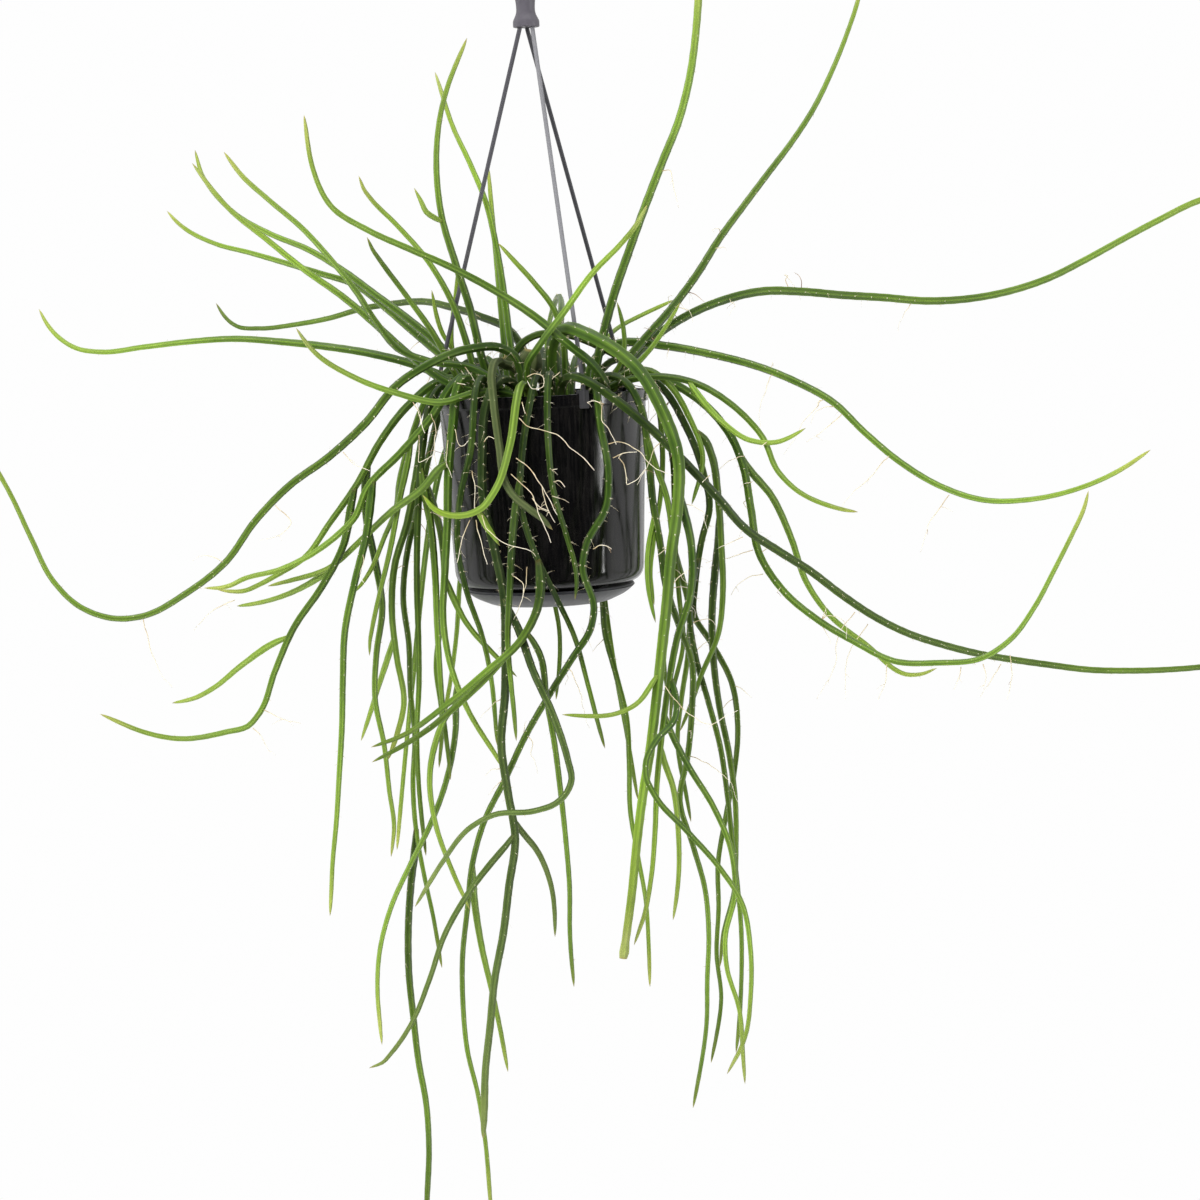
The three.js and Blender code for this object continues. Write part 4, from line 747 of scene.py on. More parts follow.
wool, tree = new_material("areole wool")
place = add_node(tree, "TexCoord").outputs["Object"]
age = add_node(tree, "Attribute", attribute_name="age").outputs["Fac"]
fluff = add_node(tree, "TexNoise", [place, 1 / WOOL_TUFT, 2.0, NOISE_ROUGH])
grey_wool = add_node(tree, "ValToRGB", [fluff], stops=[(0.3, "9c987a"), (0.7, "e2ddc8")])
young_wool = add_node(tree, "ValToRGB", [fluff], stops=[(0.3, "8a9a58"), (0.7, "b9bf8a")])
greyed = add_node(tree, "MapRange", [age, 0.2, 0.8])
shader = add_node(tree, "BsdfPrincipled", {
    "Base Color": add_node(tree, "Mix", [greyed, young_wool, grey_wool], data_type="RGBA"),
    "Roughness": 0.95, "Sheen Weight": 0.3,
    "Normal": add_node(tree, "Bump", {"Height": fluff, "Strength": 0.5, "Distance": 0.1 * MM}),
})
add_node(tree, "OutputMaterial", {"Surface": shader})

# %% Bristle horn
# A bristle is smooth straw-coloured horn, which catches the light more than the skin does.
BRISTLE_BAND = 3 * MM

hair, tree = new_material("bristle horn")
place = add_node(tree, "TexCoord").outputs["Object"]
tint = add_node(tree, "TexNoise", [place, 1 / BRISTLE_BAND, 1.0, NOISE_ROUGH])
shader = add_node(tree, "BsdfPrincipled", {
    "Base Color": add_node(tree, "ValToRGB", [tint], stops=[(0.35, "c9b98a"), (0.65, "ece4cb")]),
    "Roughness": 0.45,
})
add_node(tree, "OutputMaterial", {"Surface": shader})

# %% Areole domes
DOME_SIDES = 5
DOME_NEW, DOME_GROWTH = 0.16, 0.2
THIN_STEM, THIN_DOME, THICK_DOME = 3, 0.75, 0.25
DOME_LONG, DOME_SUNK, DOME_HIGH = 1.25, 0.12, 0.55


def across_of(way, other):
    """Two directions square to a way, the second one near another direction."""
    one = unit(np.cross(way, other))
    return one, np.cross(one, way)


points, faces, ages = [], [], []
for place, out, heading, age, radius in areoles:
    stout = THIN_DOME + THICK_DOME * min(1.0, radius / THIN_STEM)
    wide = (DOME_NEW + DOME_GROWTH * age) * stout * draw.uniform(0.7, 1.25)
    one, other = across_of(out, heading)
    start = len(points)
    for corner in range(DOME_SIDES):
        turn = 2 * math.pi * corner / DOME_SIDES
        edge = math.cos(turn) * one + DOME_LONG * math.sin(turn) * other
        points.append(place + wide * edge - out * DOME_SUNK)
    points.append(place + out * wide * DOME_HIGH)
    ages += [age] * (DOME_SIDES + 1)
    faces += [(start + k, start + (k + 1) % DOME_SIDES, start + DOME_SIDES) for k in range(DOME_SIDES)]
add_piece("areoles", np.array(points) * MM, faces, wool, (), {"age": np.array(ages)})
print("areoles:", len(faces), "triangles")

# %% Bristles
OLD_AGE, CROWN_REACH, CROWN_LOW = 0.75, 95, -400
BRISTLED_IN_CROWN, BRISTLED_NEW, BRISTLED_GROWTH = 0.85, 0.1, 0.4
SHORT_BRISTLE, SHORT_SHARE = (0.6, 1.8), 0.88
LONG_BRISTLE, LEAST_LONG, CROWN_LONGER = (2.2, 4.5), 0.8, 1.3
BRISTLE_SPREAD, BRISTLE_DROOP, BRISTLE_SAG, BRISTLE_ARCH = 0.5, 0.1, 0.12, 0.05
BRISTLE_SIDES = 3
BRISTLE_RINGS = ((0.0, 0.085), (0.5, 0.06))


def inside_box(points):
    """Points in millimetres as points in metres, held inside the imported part's box."""
    return np.clip(np.asarray(points) * MM, np.array(cad_low), np.array(cad_high))


points, faces = [], []
for place, out, heading, age, _ in areoles:
    in_crown = age > OLD_AGE and math.hypot(*place[:2]) < CROWN_REACH and place[2] > CROWN_LOW
    if draw.random() > (BRISTLED_IN_CROWN if in_crown else BRISTLED_NEW + BRISTLED_GROWTH * age):
        continue
    for _ in range(draw.choice([2, 3, 4] if in_crown else [1, 1, 2, 3])):
        short = draw.random() < SHORT_SHARE
        long = draw.uniform(*SHORT_BRISTLE) if short else draw.uniform(*LONG_BRISTLE) * age + LEAST_LONG
        long *= CROWN_LONGER if in_crown else 1.0
        lean = np.array([draw.gauss(0, BRISTLE_SPREAD) for _ in range(3)]) - np.array([0, 0, BRISTLE_DROOP])
        way = unit(out + lean)
        tip = place + way * long - np.array([0, 0, BRISTLE_SAG * long**1.5])
        one, other = across_of(way, heading)
        start = len(points)
        for share, thick in BRISTLE_RINGS:
            arch = np.array([0, 0, BRISTLE_ARCH * long]) * (share > 0)
            middle = place * (1 - share) + tip * share + arch
            for corner in range(BRISTLE_SIDES):
                turn = 2 * math.pi * corner / BRISTLE_SIDES
                points.append(middle + thick * (math.cos(turn) * one + math.sin(turn) * other))
        points.append(tip)
        high = start + BRISTLE_SIDES
        for corner in range(BRISTLE_SIDES):
            ahead = (corner + 1) % BRISTLE_SIDES
            faces.append((start + corner, start + ahead, high + ahead, high + corner))
            faces.append((high + corner, high + ahead, high + BRISTLE_SIDES))
add_piece("bristles", inside_box(points), faces, hair)
print("bristles:", len(faces) * 3 // 2, "triangles")

# %% [markdown]
# Air roots
#
# This cactus climbs in the wild, and its stems put out thin cream roots that search the air and
# turn tan as they dry. Those that show in the picture are drawn from where they show, each at the
# depth of the stem it grows from. The rest grow by a rule: out from an areole on an older
# stem, then down, with a wander.

# %% Tubes
def tube(line, sides):
    """Points and faces of a closed round tube along rows of (x, y, z, radius)."""
    _, _, side, across = frames_along(line)
    turns = 2 * math.pi * np.arange(sides) / sides
    points = line[:, None, :3] + line[:, 3, None, None] * ring_ways(turns, side, across)
    return points.reshape(-1, 3), ring_faces(len(line), sides)


# %% Roots that show in the picture
ROOTS_IN_PICTURE = [
    [(516, 458), (532, 471), (542, 486), (557, 515)],
    [(511, 474), (522, 484), (532, 494), (538, 511), (551, 543)],
    [(542, 486), (544, 498), (555, 523)], [(532, 498), (540, 507), (549, 511)],
    [(470, 520), (462, 540), (457, 563)], [(476, 520), (480, 540), (487, 564)],
    [(482, 515), (486, 528), (503, 542), (532, 551)], [(472, 471), (475, 488), (474, 509)],
    [(519, 418), (530, 427), (545, 431), (559, 436), (572, 449), (584, 458), (594, 471)],
    [(484, 442), (488, 437), (500, 442)], [(413, 402), (418, 412), (425, 433)],
    [(465, 367), (475, 381)], [(457, 383), (466, 385)],
    [(527, 377), (532, 374), (542, 376), (542, 387), (532, 388), (527, 381)], [(522, 402), (525, 414)],
    [(419, 435), (419, 450), (419, 462), (429, 458), (436, 452)], [(455, 429), (461, 446), (471, 439)],
    [(509, 574), (522, 582), (524, 592), (520, 605)],
    [(527, 567), (525, 588), (521, 603), (511, 626), (505, 650)],
    [(602, 404), (602, 420), (610, 431), (617, 444)], [(604, 404), (595, 401), (587, 402)],
    [(608, 444), (619, 442), (632, 447), (642, 454), (647, 462), (655, 468), (672, 475)],
    [(613, 458), (623, 453), (637, 452)],
    [(619, 458), (624, 465), (626, 476), (627, 485), (636, 480), (645, 470)],
    [(767, 442), (757, 449)], [(745, 456), (735, 458), (722, 466), (716, 472)], [(710, 475), (702, 482)],
    [(752, 482), (745, 484)], [(743, 537), (734, 541), (719, 548)],
    [(753, 550), (740, 554), (728, 558), (715, 559), (706, 563)],
    [(763, 574), (750, 577), (740, 583), (731, 595)], [(781, 587), (777, 592)],
    [(674, 583), (679, 577), (689, 570)],
    [(665, 686), (676, 701), (689, 714), (712, 724), (723, 718), (738, 710)],
    [(855, 612), (839, 633), (835, 664), (817, 699)], [(868, 624), (849, 653), (845, 699)],
    [(887, 664), (885, 684), (878, 699)], [(961, 667), (959, 678), (954, 690)],
    [(983, 664), (986, 677), (983, 690)], [(1001, 664), (991, 680), (980, 697)],
    [(1010, 655), (1012, 676), (1007, 700)], [(842, 414), (824, 430), (806, 442)],
    [(889, 456), (865, 482), (853, 492), (842, 506)], [(949, 495), (928, 526), (921, 552)],
    [(275, 505), (291, 524), (281, 534), (261, 541)], [(343, 452), (356, 465), (370, 471)],
    [(143, 619), (152, 653), (160, 672), (172, 687)], [(235, 600), (212, 611), (194, 630)],
    [(264, 710), (283, 719), (301, 723)], [(253, 728), (262, 738), (268, 750)],
    [(662, 171), (669, 170), (674, 191), (678, 207)], [(431, 414), (436, 430), (434, 452), (437, 470)],
    [(448, 440), (447, 462), (452, 478)], [(560, 372), (552, 380), (549, 392)],
    [(552, 470), (557, 469)], [(553, 482), (560, 481), (565, 487)], [(552, 496), (560, 498)],
    [(593, 549), (602, 545), (612, 549)],
]
print(len(ROOTS_IN_PICTURE), "roots read from the picture")

# %% Keep a root off the pot
POT_WALL_TOP, POT_WALL_LOW, POT_STRAIGHT = 60.0, 54.0, 98.0
RIM_TOP = -252.0
POT_CORE, PAST_THE_EDGE, ROOT_CLEARANCE = 30, 1.25, 0.7
ROOT_STEP = 1.6
WANDER_PACE, WANDER_LANE, WANDER_START = 0.31, 3.7, 3


def off_the_pot(spot):
    """Moves a point in millimetres out of the pot, straight away from its axis."""
    drop = (RIM_TOP - spot[2]) / POT_STRAIGHT
    out = math.hypot(spot[0], spot[1])
    wall = POT_WALL_TOP + (POT_WALL_LOW - POT_WALL_TOP) * drop + ROOT_CLEARANCE
    if 0 < drop < PAST_THE_EDGE and POT_CORE < out < wall:
        spot = spot.copy()
        spot[:2] *= wall / out
    return spot


def wandering(points, first, last, wander, seed, outside=True):
    """A root's line through points, thinner to its end, with a fine wander. Outside, the pot's wall
    pushes it away."""
    line = smooth_line([[*p, 0.0] for p in points], ROOT_STEP)
    count = len(line)
    share = np.arange(count) / max(1, count - 1)
    for k in range(count):
        near = Vector((k * WANDER_PACE, seed * WANDER_LANE, 0.0))
        line[k, :3] += wander * min(1.0, k / WANDER_START) * np.array(noise.noise_vector(near))
        if outside:
            line[k, :3] = off_the_pot(line[k, :3])
    line[:, 3] = first + (last - first) * share
    return line


# %% Lines of the roots in the picture
SEEN_NEAR, NEAREST_SLACK = 12.0, 1
ROOT_SEAT = 0.8
ROOT_FORWARD, ROOT_SWAY, SWAY_PACE = 1.5 * MM, 1.2 * MM, 1.9

spine = np.vstack([shoot["line"] for shoot in shoots])
spine_right, spine_down, spine_ahead = in_picture(spine[:, :3] * MM)


def root_from_picture(places, seed):
    """The line of a root that shows in the picture, at the depth of the nearest stem in front."""
    right, down = places[0]
    away = np.hypot(spine_right - right, spine_down - down)
    close = np.where(away < max(SEEN_NEAR, away.min() + NEAREST_SLACK))[0]
    stem_at = close[spine_ahead[close].argmin()]
    ahead = spine_ahead[stem_at] - spine[stem_at, 3] * MM * ROOT_SEAT
    points = []
    for k, (right, down) in enumerate(places):
        forward = ahead - ROOT_FORWARD * k - ROOT_SWAY * math.sin(k * SWAY_PACE + seed)
        points.append(np.array(from_picture(right, down, forward)) / MM)
    return points


root_lines = []
for seed, places in enumerate(ROOTS_IN_PICTURE):
    root_lines.append(wandering(root_from_picture(places, seed), 0.26, 0.17, 0.6, seed))

# %% Roots that grow by rule
FORK_SEEDS, RULE_SEEDS = 500, 100
RULE_ROOTS, ROOTS_LOW = 110, -470
POT_FACE_HALF, POT_FACE_LOW = 62, -378


def grows_root(areole):
    """True for an old areole that doesn't hang in front of the pot's face."""
    (x, y, z), age = areole[0], areole[3]
    in_front = abs(x) < POT_FACE_HALF and y < 0 and z > POT_FACE_LOW
    return age > OLD_AGE and z > ROOTS_LOW and not in_front


draw = random.Random(83)
for seed, line in enumerate(list(root_lines)):
    for _ in range(draw.choice([0, 1, 1, 2])):
        spot = line[draw.randrange(len(line) // 4, len(line)), :3]
        way = np.array([draw.gauss(0, 0.7), draw.gauss(0, 0.5), -0.5])
        points = [spot, off_the_pot(spot + way * 2.2), off_the_pot(spot + way * 4 + np.array([0, 0, -0.8]))]
        root_lines.append(wandering(points, 0.14, 0.08, 0.5, FORK_SEEDS + seed))
old_areoles = [areole for areole in areoles if grows_root(areole)]
for seed in range(RULE_ROOTS):
    place, out, *_ = draw.choice(old_areoles)
    way = unit(out + np.array([draw.gauss(0, 0.4) for _ in range(3)]))
    spot, points = place - out * 0.4, []
    for _ in range(draw.choice([3, 4, 5, 7, 9])):
        points.append(off_the_pot(spot))
        spot = points[-1] + way * draw.uniform(3.5, 6.5)
        way = unit(way * 0.8 + np.array([draw.gauss(0, 0.3), draw.gauss(0, 0.3), -0.28]))
    root_lines.append(wandering(points, 0.26, 0.1, 0.9, RULE_SEEDS + seed))

# %% Air root skin
# An air root is dry and matt, cream while it grows and tan once it has dried.
ROOT_PATCH = 4 * MM

root_skin, tree = new_material("dry air root")
place = add_node(tree, "TexCoord").outputs["Object"]
life, shade = [
    add_node(tree, "Attribute", attribute_name=stored).outputs["Fac"] for stored in ("along", "shade")
]
patch = add_node(tree, "TexNoise", [place, 1 / ROOT_PATCH, 3.0, NOISE_ROUGH])
drift = add_node(tree, "MapRange", [patch, 0.3, 0.7, -0.25, 0.25])
where = add_node(tree, "Math", [life, drift])
pale = add_node(tree, "ValToRGB", [where], stops=[(0.0, "c0ab84"), (0.3, "e2d5b4"), (1.0, "f4ecd9")])
tan = add_node(tree, "ValToRGB", [where], stops=[(0.0, "6b4a32"), (0.5, "98785a"), (1.0, "b99f7c")])
dried = add_node(tree, "MapRange", [shade, 0.84, 0.92])
shader = add_node(tree, "BsdfPrincipled", {
    "Base Color": add_node(tree, "Mix", [dried, pale, tan], data_type="RGBA"), "Roughness": 0.75,
    "Normal": add_node(tree, "Bump", {"Height": patch, "Strength": 0.4, "Distance": 0.1 * MM}),
})
add_node(tree, "OutputMaterial", {"Surface": shader})

# %% Many tubes as one piece
PALE_SHADE = 0.8


def add_tubes(name, lines, sides, material, seed, pale=0):
    """One piece of many thin tubes, with how far along each point lies and a shade for each tube.
    The first ones, as many as pale says, are young and pale."""
    draw_shade = random.Random(seed)
    points, faces, along, shades, start = [], [], [], [], 0
    for number, line in enumerate(lines):
        new_points, new_faces = tube(line, sides)
        points.append(new_points)
        faces += [[v + start for v in face] for face in new_faces]
        along.append(np.repeat(np.arange(len(line)) / (len(line) - 1), sides))
        shade = draw_shade.random() * (PALE_SHADE if number < pale else 1.0)
        shades.append(np.full(len(new_points), shade))
        start += len(new_points)
    numbers = {"along": np.concatenate(along), "shade": np.concatenate(shades)}
    add_piece(name, inside_box(np.vstack(points)), faces, material, (), numbers)
    print(name + ":", 2 * len(faces), "triangles")


add_tubes("air_roots", root_lines, 5, root_skin, 5, len(ROOTS_IN_PICTURE))

# %% [markdown]
# The pot
#
# The pot is injection moulded polypropylene, black and glossy. Its wall leans in a little, so that it
# leaves the mould, its lower edge is a soft round, and a thin band stiffens the rim. It is turned
# from one outline, and its drain holes are cut with a Boolean, as the real floor has them.

# %% Outlines with eased corners
ON_AXIS = 1e-6


def eased(corners, steps=5):
    """A line through corners given as (..., ease), each rounded off over its ease on both sides."""
    places = [np.array(c[:-1], dtype=float) for c in corners]
    line = [places[0]]
    for before, place, after, corner in zip(places, places[1:], places[2:], corners[1:]):
        ease = corner[-1]
        if not ease:
            line.append(place)
            continue
        first = place + unit(before - place) * ease
        last = place + unit(after - place) * ease
        for t in np.linspace(0, 1, steps + 1):
            line.append((1 - t) ** 2 * first + 2 * t * (1 - t) * place + t * t * last)
    line.append(places[-1])
    return np.array(line)


def turned_piece(name, outline, segments, material, stands_for=()):
    """A solid turned round the pot's axis from (radius, height) points in millimetres."""
    turns = 2 * math.pi * np.arange(segments) / segments
    rings, points = [], []
    for radius, height in outline:
        if radius < ON_AXIS:
            rings.append([len(points)])
            points.append((0.0, 0.0, height))
        else:
            rings.append(list(range(len(points), len(points) + segments)))
            points += [(radius * math.cos(t), radius * math.sin(t), height) for t in turns]
    faces = []
    for low, high in zip(rings, rings[1:]):
        for k in range(segments):
            ahead = (k + 1) % segments
            if len(low) == 1:
                faces.append((low[0], high[ahead], high[k]))
            elif len(high) == 1:
                faces.append((low[k], low[ahead], high[0]))
            else:
                faces.append((low[k], low[ahead], high[ahead], high[k]))
    return add_piece(name, np.array(points) * MM, faces, material, stands_for)


def drilled(piece, holes, radius, low, high, sides=32):
    """Cuts upright holes at (x, y) places through a piece."""
    bench = bmesh.new()
    for x, y in holes:
        spot = Matrix.Translation(Vector((x, y, (low + high) / 2)) * MM)
        bmesh.ops.create_cone(bench, cap_ends=True, segments=sides, radius1=radius * MM,
                              radius2=radius * MM, depth=(high - low) * MM, matrix=spot)
    cutter_mesh = bpy.data.meshes.new("cutter")
    bench.to_mesh(cutter_mesh)
    bench.free()
    cutter = bpy.data.objects.new("cutter", cutter_mesh)
    bpy.context.scene.collection.objects.link(cutter)
    cut = piece.modifiers.new("cut", "BOOLEAN")
    cut.operation, cut.object, cut.solver = "DIFFERENCE", cutter, "EXACT"
    shown = piece.evaluated_get(bpy.context.evaluated_depsgraph_get())
    piece.data = bpy.data.meshes.new_from_object(shown)
    piece.modifiers.clear()
    bpy.data.objects.remove(cutter)


# %% Pot plastic
# Moulded polypropylene is even and satin to glossy. The melt leaves fine upright streaks in it, and
# dust and dried water leave a thin pale film. The streaks are drawn wider than they are, to show.
FLOW_STREAK, WATER_MARK, DUST_SPECK = 1.1 * MM, 9 * MM, 0.8 * MM
STREAK_LONG = (1.0, 1.0, 0.035)
# Darker towards the lower end: partly soiling from the wet peat, partly painted shade under the stems.
SOIL_STAIN_AND_SHADE, STAIN_AND_SHADE_FROM, STAIN_AND_SHADE_TO = "2b2a2c", (RIM_TOP + 6) * MM, (RIM_TOP + 60) * MM


def moulded_plastic(name, colour, dust, rough, streaks, dusty, flow=0.0, stain_and_shade=0.0):
    """Injection moulded plastic. Streaks is how much the gloss changes from streak to streak, dusty is
    how much dust shows, flow is how much the streaks show in the colour, and stain is how much darker
    the lower end is made, partly as soiling from wet peat and partly as painted shade under the stems."""
    material, tree = new_material(name)
    place = add_node(tree, "TexCoord").outputs["Object"]
    upright = add_node(tree, "Mapping", {"Vector": place, "Scale": STREAK_LONG})
    streak = add_node(tree, "TexNoise", [upright, 1 / FLOW_STREAK, 3.0, NOISE_ROUGH])
    marks = add_node(tree, "TexNoise", [place, 1 / WATER_MARK, 5.0, 0.65])
    specks = add_node(tree, "TexNoise", [place, 1 / DUST_SPECK, 2.0, NOISE_ROUGH])
    height = add_node(tree, "SeparateXYZ", {0: place}).outputs["Z"]
    film = add_node(tree, "MapRange", [marks, 0.5, 0.78, 0.0, dusty])
    grit = add_node(tree, "MapRange", [specks, 0.68, 0.76, 0.0, dusty])
    soiled = add_node(tree, "Math", [film, grit], operation="MAXIMUM")
    tone = add_node(tree, "Mix", [soiled, linear(colour), linear(dust)], data_type="RGBA")
    # Flow streaks show in the colour, and the lower end is darkened, partly as soiling and partly as painted
    # shade.
    tone = layered(tree, tone, [
        ("MIX", dust, (streak, 0.45, 0.72, 0.0, flow)),
        ("MIX", SOIL_STAIN_AND_SHADE, (height, STAIN_AND_SHADE_FROM, STAIN_AND_SHADE_TO, stain_and_shade, 0.0)),
    ])
    streaky = add_node(tree, "MapRange", [streak, 0.3, 0.7, rough - streaks, rough + streaks])
    marked = add_node(tree, "MapRange", [marks, 0.4, 0.8, 0.0, 0.12])
    shader = add_node(tree, "BsdfPrincipled", {
        "Base Color": tone, "Roughness": add_node(tree, "Math", [streaky, marked]), "IOR": 1.49,
        "Normal": add_node(tree, "Bump", {"Height": streak, "Strength": 0.12, "Distance": 0.05 * MM}),
    })
    add_node(tree, "OutputMaterial", {"Surface": shader})
    return material


pot_plastic = moulded_plastic("glossy black polypropylene", "070708", "4a4642", 0.14, 0.05, 0.07, flow=0.14)
saucer_plastic = moulded_plastic("satin grey polypropylene", "3b3c3f", "77736c", 0.36, 0.06, 0.16)

# %% Pot
RIM_RADIUS, RIM_STEP, RIM_BAND = 60.0, 1.2, 7.0
POT_WALL = 1.8
POT_HEIGHT, POT_FLOOR = 118.0, 109.0
FOOT_RADIUS, FOOT_WIDTH, FOOT_BEAD = 30.0, 4.0, 1.0
DRAIN_CIRCLE, DRAIN_RADIUS, DRAIN_COUNT = 18.0, 3.0, 4
CUT_BEYOND = 2
ROUND_SEGMENTS = 144

pot_outline = eased([
    (0, -POT_FLOOR, 0), (FOOT_RADIUS - FOOT_WIDTH, -POT_FLOOR, 0.6),
    (FOOT_RADIUS - FOOT_WIDTH, -POT_HEIGHT, 0.5), (FOOT_RADIUS + FOOT_BEAD, -POT_HEIGHT, 0.4),
    (FOOT_RADIUS + FOOT_BEAD, -POT_HEIGHT + 1.2, 0.4), (FOOT_RADIUS, -POT_HEIGHT + 2, 0.4),
    (FOOT_RADIUS, -POT_FLOOR, 0.8), (POT_WALL_LOW - 0.3, -POT_FLOOR, 9.4),
    (RIM_RADIUS - RIM_STEP, -RIM_BAND, 0.25), (RIM_RADIUS, -RIM_BAND + 0.6, 0.3),
    (RIM_RADIUS, 0, 0.7), (RIM_RADIUS - POT_WALL, 0, 0.5), (RIM_RADIUS - RIM_STEP - POT_WALL, -RIM_BAND, 1.0),
    (POT_WALL_LOW - POT_WALL, -POT_STRAIGHT, 3.0), (POT_WALL_LOW - 8, -POT_FLOOR + POT_WALL, 3.0),
    (0, -POT_FLOOR + POT_WALL, 0),
], 7)
pot_outline[:, 1] += RIM_TOP
pot = turned_piece("pot_body", pot_outline, ROUND_SEGMENTS, pot_plastic, ["pot"])
quarter = [2 * math.pi * (k + 0.5) / DRAIN_COUNT for k in range(DRAIN_COUNT)]
drains = [(DRAIN_CIRCLE * math.cos(t), DRAIN_CIRCLE * math.sin(t)) for t in quarter]
floor_under, floor_over = RIM_TOP - POT_FLOOR, RIM_TOP - POT_FLOOR + POT_WALL
drilled(pot, drains, DRAIN_RADIUS, floor_under - CUT_BEYOND, floor_over + CUT_BEYOND)
print("pot:", len(pot.data.polygons), "faces")

# %% Saucer
SAUCER_LIP, SAUCER_DROP, SAUCER_FLOOR, SAUCER_WALL = 48.0, 110.0, 33.0, 1.6
SEAT_GAP = 0.3
saucer_bottom = -POT_HEIGHT - SEAT_GAP - SAUCER_WALL
ring = FOOT_RADIUS + FOOT_BEAD + SEAT_GAP
saucer_outline = eased([
    (0, saucer_bottom, 0), (SAUCER_FLOOR, saucer_bottom, 3.0),
    (SAUCER_FLOOR + 12.0, saucer_bottom + 5.2, 5.0), (SAUCER_LIP, -SAUCER_DROP - 1.4, 1.0),
    (SAUCER_LIP, -SAUCER_DROP, 0.4), (SAUCER_LIP - SAUCER_WALL, -SAUCER_DROP, 0.4),
    (SAUCER_LIP - SAUCER_WALL - 0.3, -SAUCER_DROP - 1.6, 1.0), (ring + 1.4, -POT_HEIGHT + 0.5, 2.0),
    (ring + 1.4, -POT_HEIGHT + 6.5, 0.4), (FOOT_RADIUS + SEAT_GAP, -POT_HEIGHT + 6.5, 0.4),
    (ring, -POT_HEIGHT + 3.0, 0.4), (ring, -POT_HEIGHT - SEAT_GAP, 0.3), (0, -POT_HEIGHT - SEAT_GAP, 0),
], 6)
saucer_outline[:, 1] += RIM_TOP
turned_piece("saucer_dish", saucer_outline, ROUND_SEGMENTS, saucer_plastic, ["saucer"])
print("saucer:", len(saucer_outline), "points in its outline")

# %% [markdown]
# The soil
#
# The plant stands in a loose mix of peat, bark and fine roots. Its top is a disc of rings moved up and
# down by noise, with crumbs and chips of bark strewn on it, and a felt of tan roots that curl over
# the surface. Peat swallows light: it is very dark and fully rough.

# %% Peat
CLOD, CRUMB, FIBRE = 5 * MM, 1.6 * MM, 0.7 * MM

peat, tree = new_material("damp peat mix")
place = add_node(tree, "TexCoord").outputs["Object"]
lengthwise = add_node(tree, "Mapping", {"Vector": place, "Scale": (1.0, 0.15, 1.0)})
clods = add_node(tree, "TexNoise", [place, 1 / CLOD, 6.0, 0.65])
grains = add_node(tree, "TexVoronoi", {"Vector": place, "Scale": 1 / CRUMB})
fibres = add_node(tree, "TexNoise", [lengthwise, 1 / FIBRE, 2.0, NOISE_ROUGH])
earth = add_node(tree, "ValToRGB", [clods], stops=[(0.3, "140d08"), (0.52, "2a1c12"), (0.75, "493423")])
earth = layered(tree, earth, [
    ("MIX", "5d4630", (grains, 0.25, 0.8, 0.0, 0.35)),
    ("MIX", "8d6f4a", (fibres, 0.66, 0.74, 0.0, 0.45)),
])
lumps = add_node(tree, "Math", [clods, grains])
shader = add_node(tree, "BsdfPrincipled", {
    "Base Color": earth, "Roughness": 0.95,
    "Normal": add_node(tree, "Bump", {"Height": lumps, "Strength": 0.8, "Distance": 0.8 * MM}),
})
add_node(tree, "OutputMaterial", {"Surface": shader})

# %% Soil body
SOIL_DROP, SOIL_CROWN, SOIL_EDGE_DROP = 8.0, 1.2, 0.8
BROAD_WAVE, BROAD_HEIGHT, FINE_WAVE, FINE_HEIGHT = 17, 1.8, 4.5, 1.1
SOIL_RINGS, SOIL_SEGMENTS = 34, 110
soil_edge = RIM_RADIUS - RIM_STEP - POT_WALL - SEAT_GAP
soil_bottom = RIM_TOP - POT_FLOOR + POT_WALL + 0.6


def soil_height(x, y):
    """The height of the soil's top at a place, in millimetres."""
    broad = noise.noise(Vector((x / BROAD_WAVE, y / BROAD_WAVE, 3.1))) * BROAD_HEIGHT
    fine = noise.noise(Vector((x / FINE_WAVE, y / FINE_WAVE, 8.4))) * FINE_HEIGHT
    out = math.hypot(x, y) / soil_edge
    return RIM_TOP - SOIL_DROP + SOIL_CROWN + (broad + fine) * (1 - out**6) - SOIL_EDGE_DROP * out**4


rings = [(soil_edge * k / SOIL_RINGS, None) for k in range(SOIL_RINGS + 1)]
rings += [
    (soil_edge, RIM_TOP - 14), (POT_WALL_LOW - POT_WALL - SEAT_GAP, RIM_TOP - POT_STRAIGHT),
    (POT_WALL_LOW - 8 - SEAT_GAP, soil_bottom), (0, soil_bottom),
]
points, faces, starts = [], [], []
for radius, height in rings:
    starts.append(len(points))
    for k in range(1 if radius == 0 else SOIL_SEGMENTS):
        turn = 2 * math.pi * k / SOIL_SEGMENTS
        x, y = radius * math.cos(turn), radius * math.sin(turn)
        points.append((x, y, soil_height(x, y) if height is None else height))
for row in range(len(rings) - 1):
    low, high = starts[row], starts[row + 1]
    for k in range(SOIL_SEGMENTS):
        ahead = (k + 1) % SOIL_SEGMENTS
        if row == 0:
            faces.append((low, high + k, high + ahead))
        elif row == len(rings) - 2:
            faces.append((low + ahead, low + k, high))
        else:
            faces.append((low + ahead, low + k, high + k, high + ahead))
add_piece("soil_body", np.array(points) * MM, faces, peat, ["soil"])
print("soil:", len(faces), "faces")

# %% Pine bark
# Bark chips are the coarse part of the mix: reddish brown, dull, with a grain along each chip.
BARK_GRAIN = 0.9 * MM

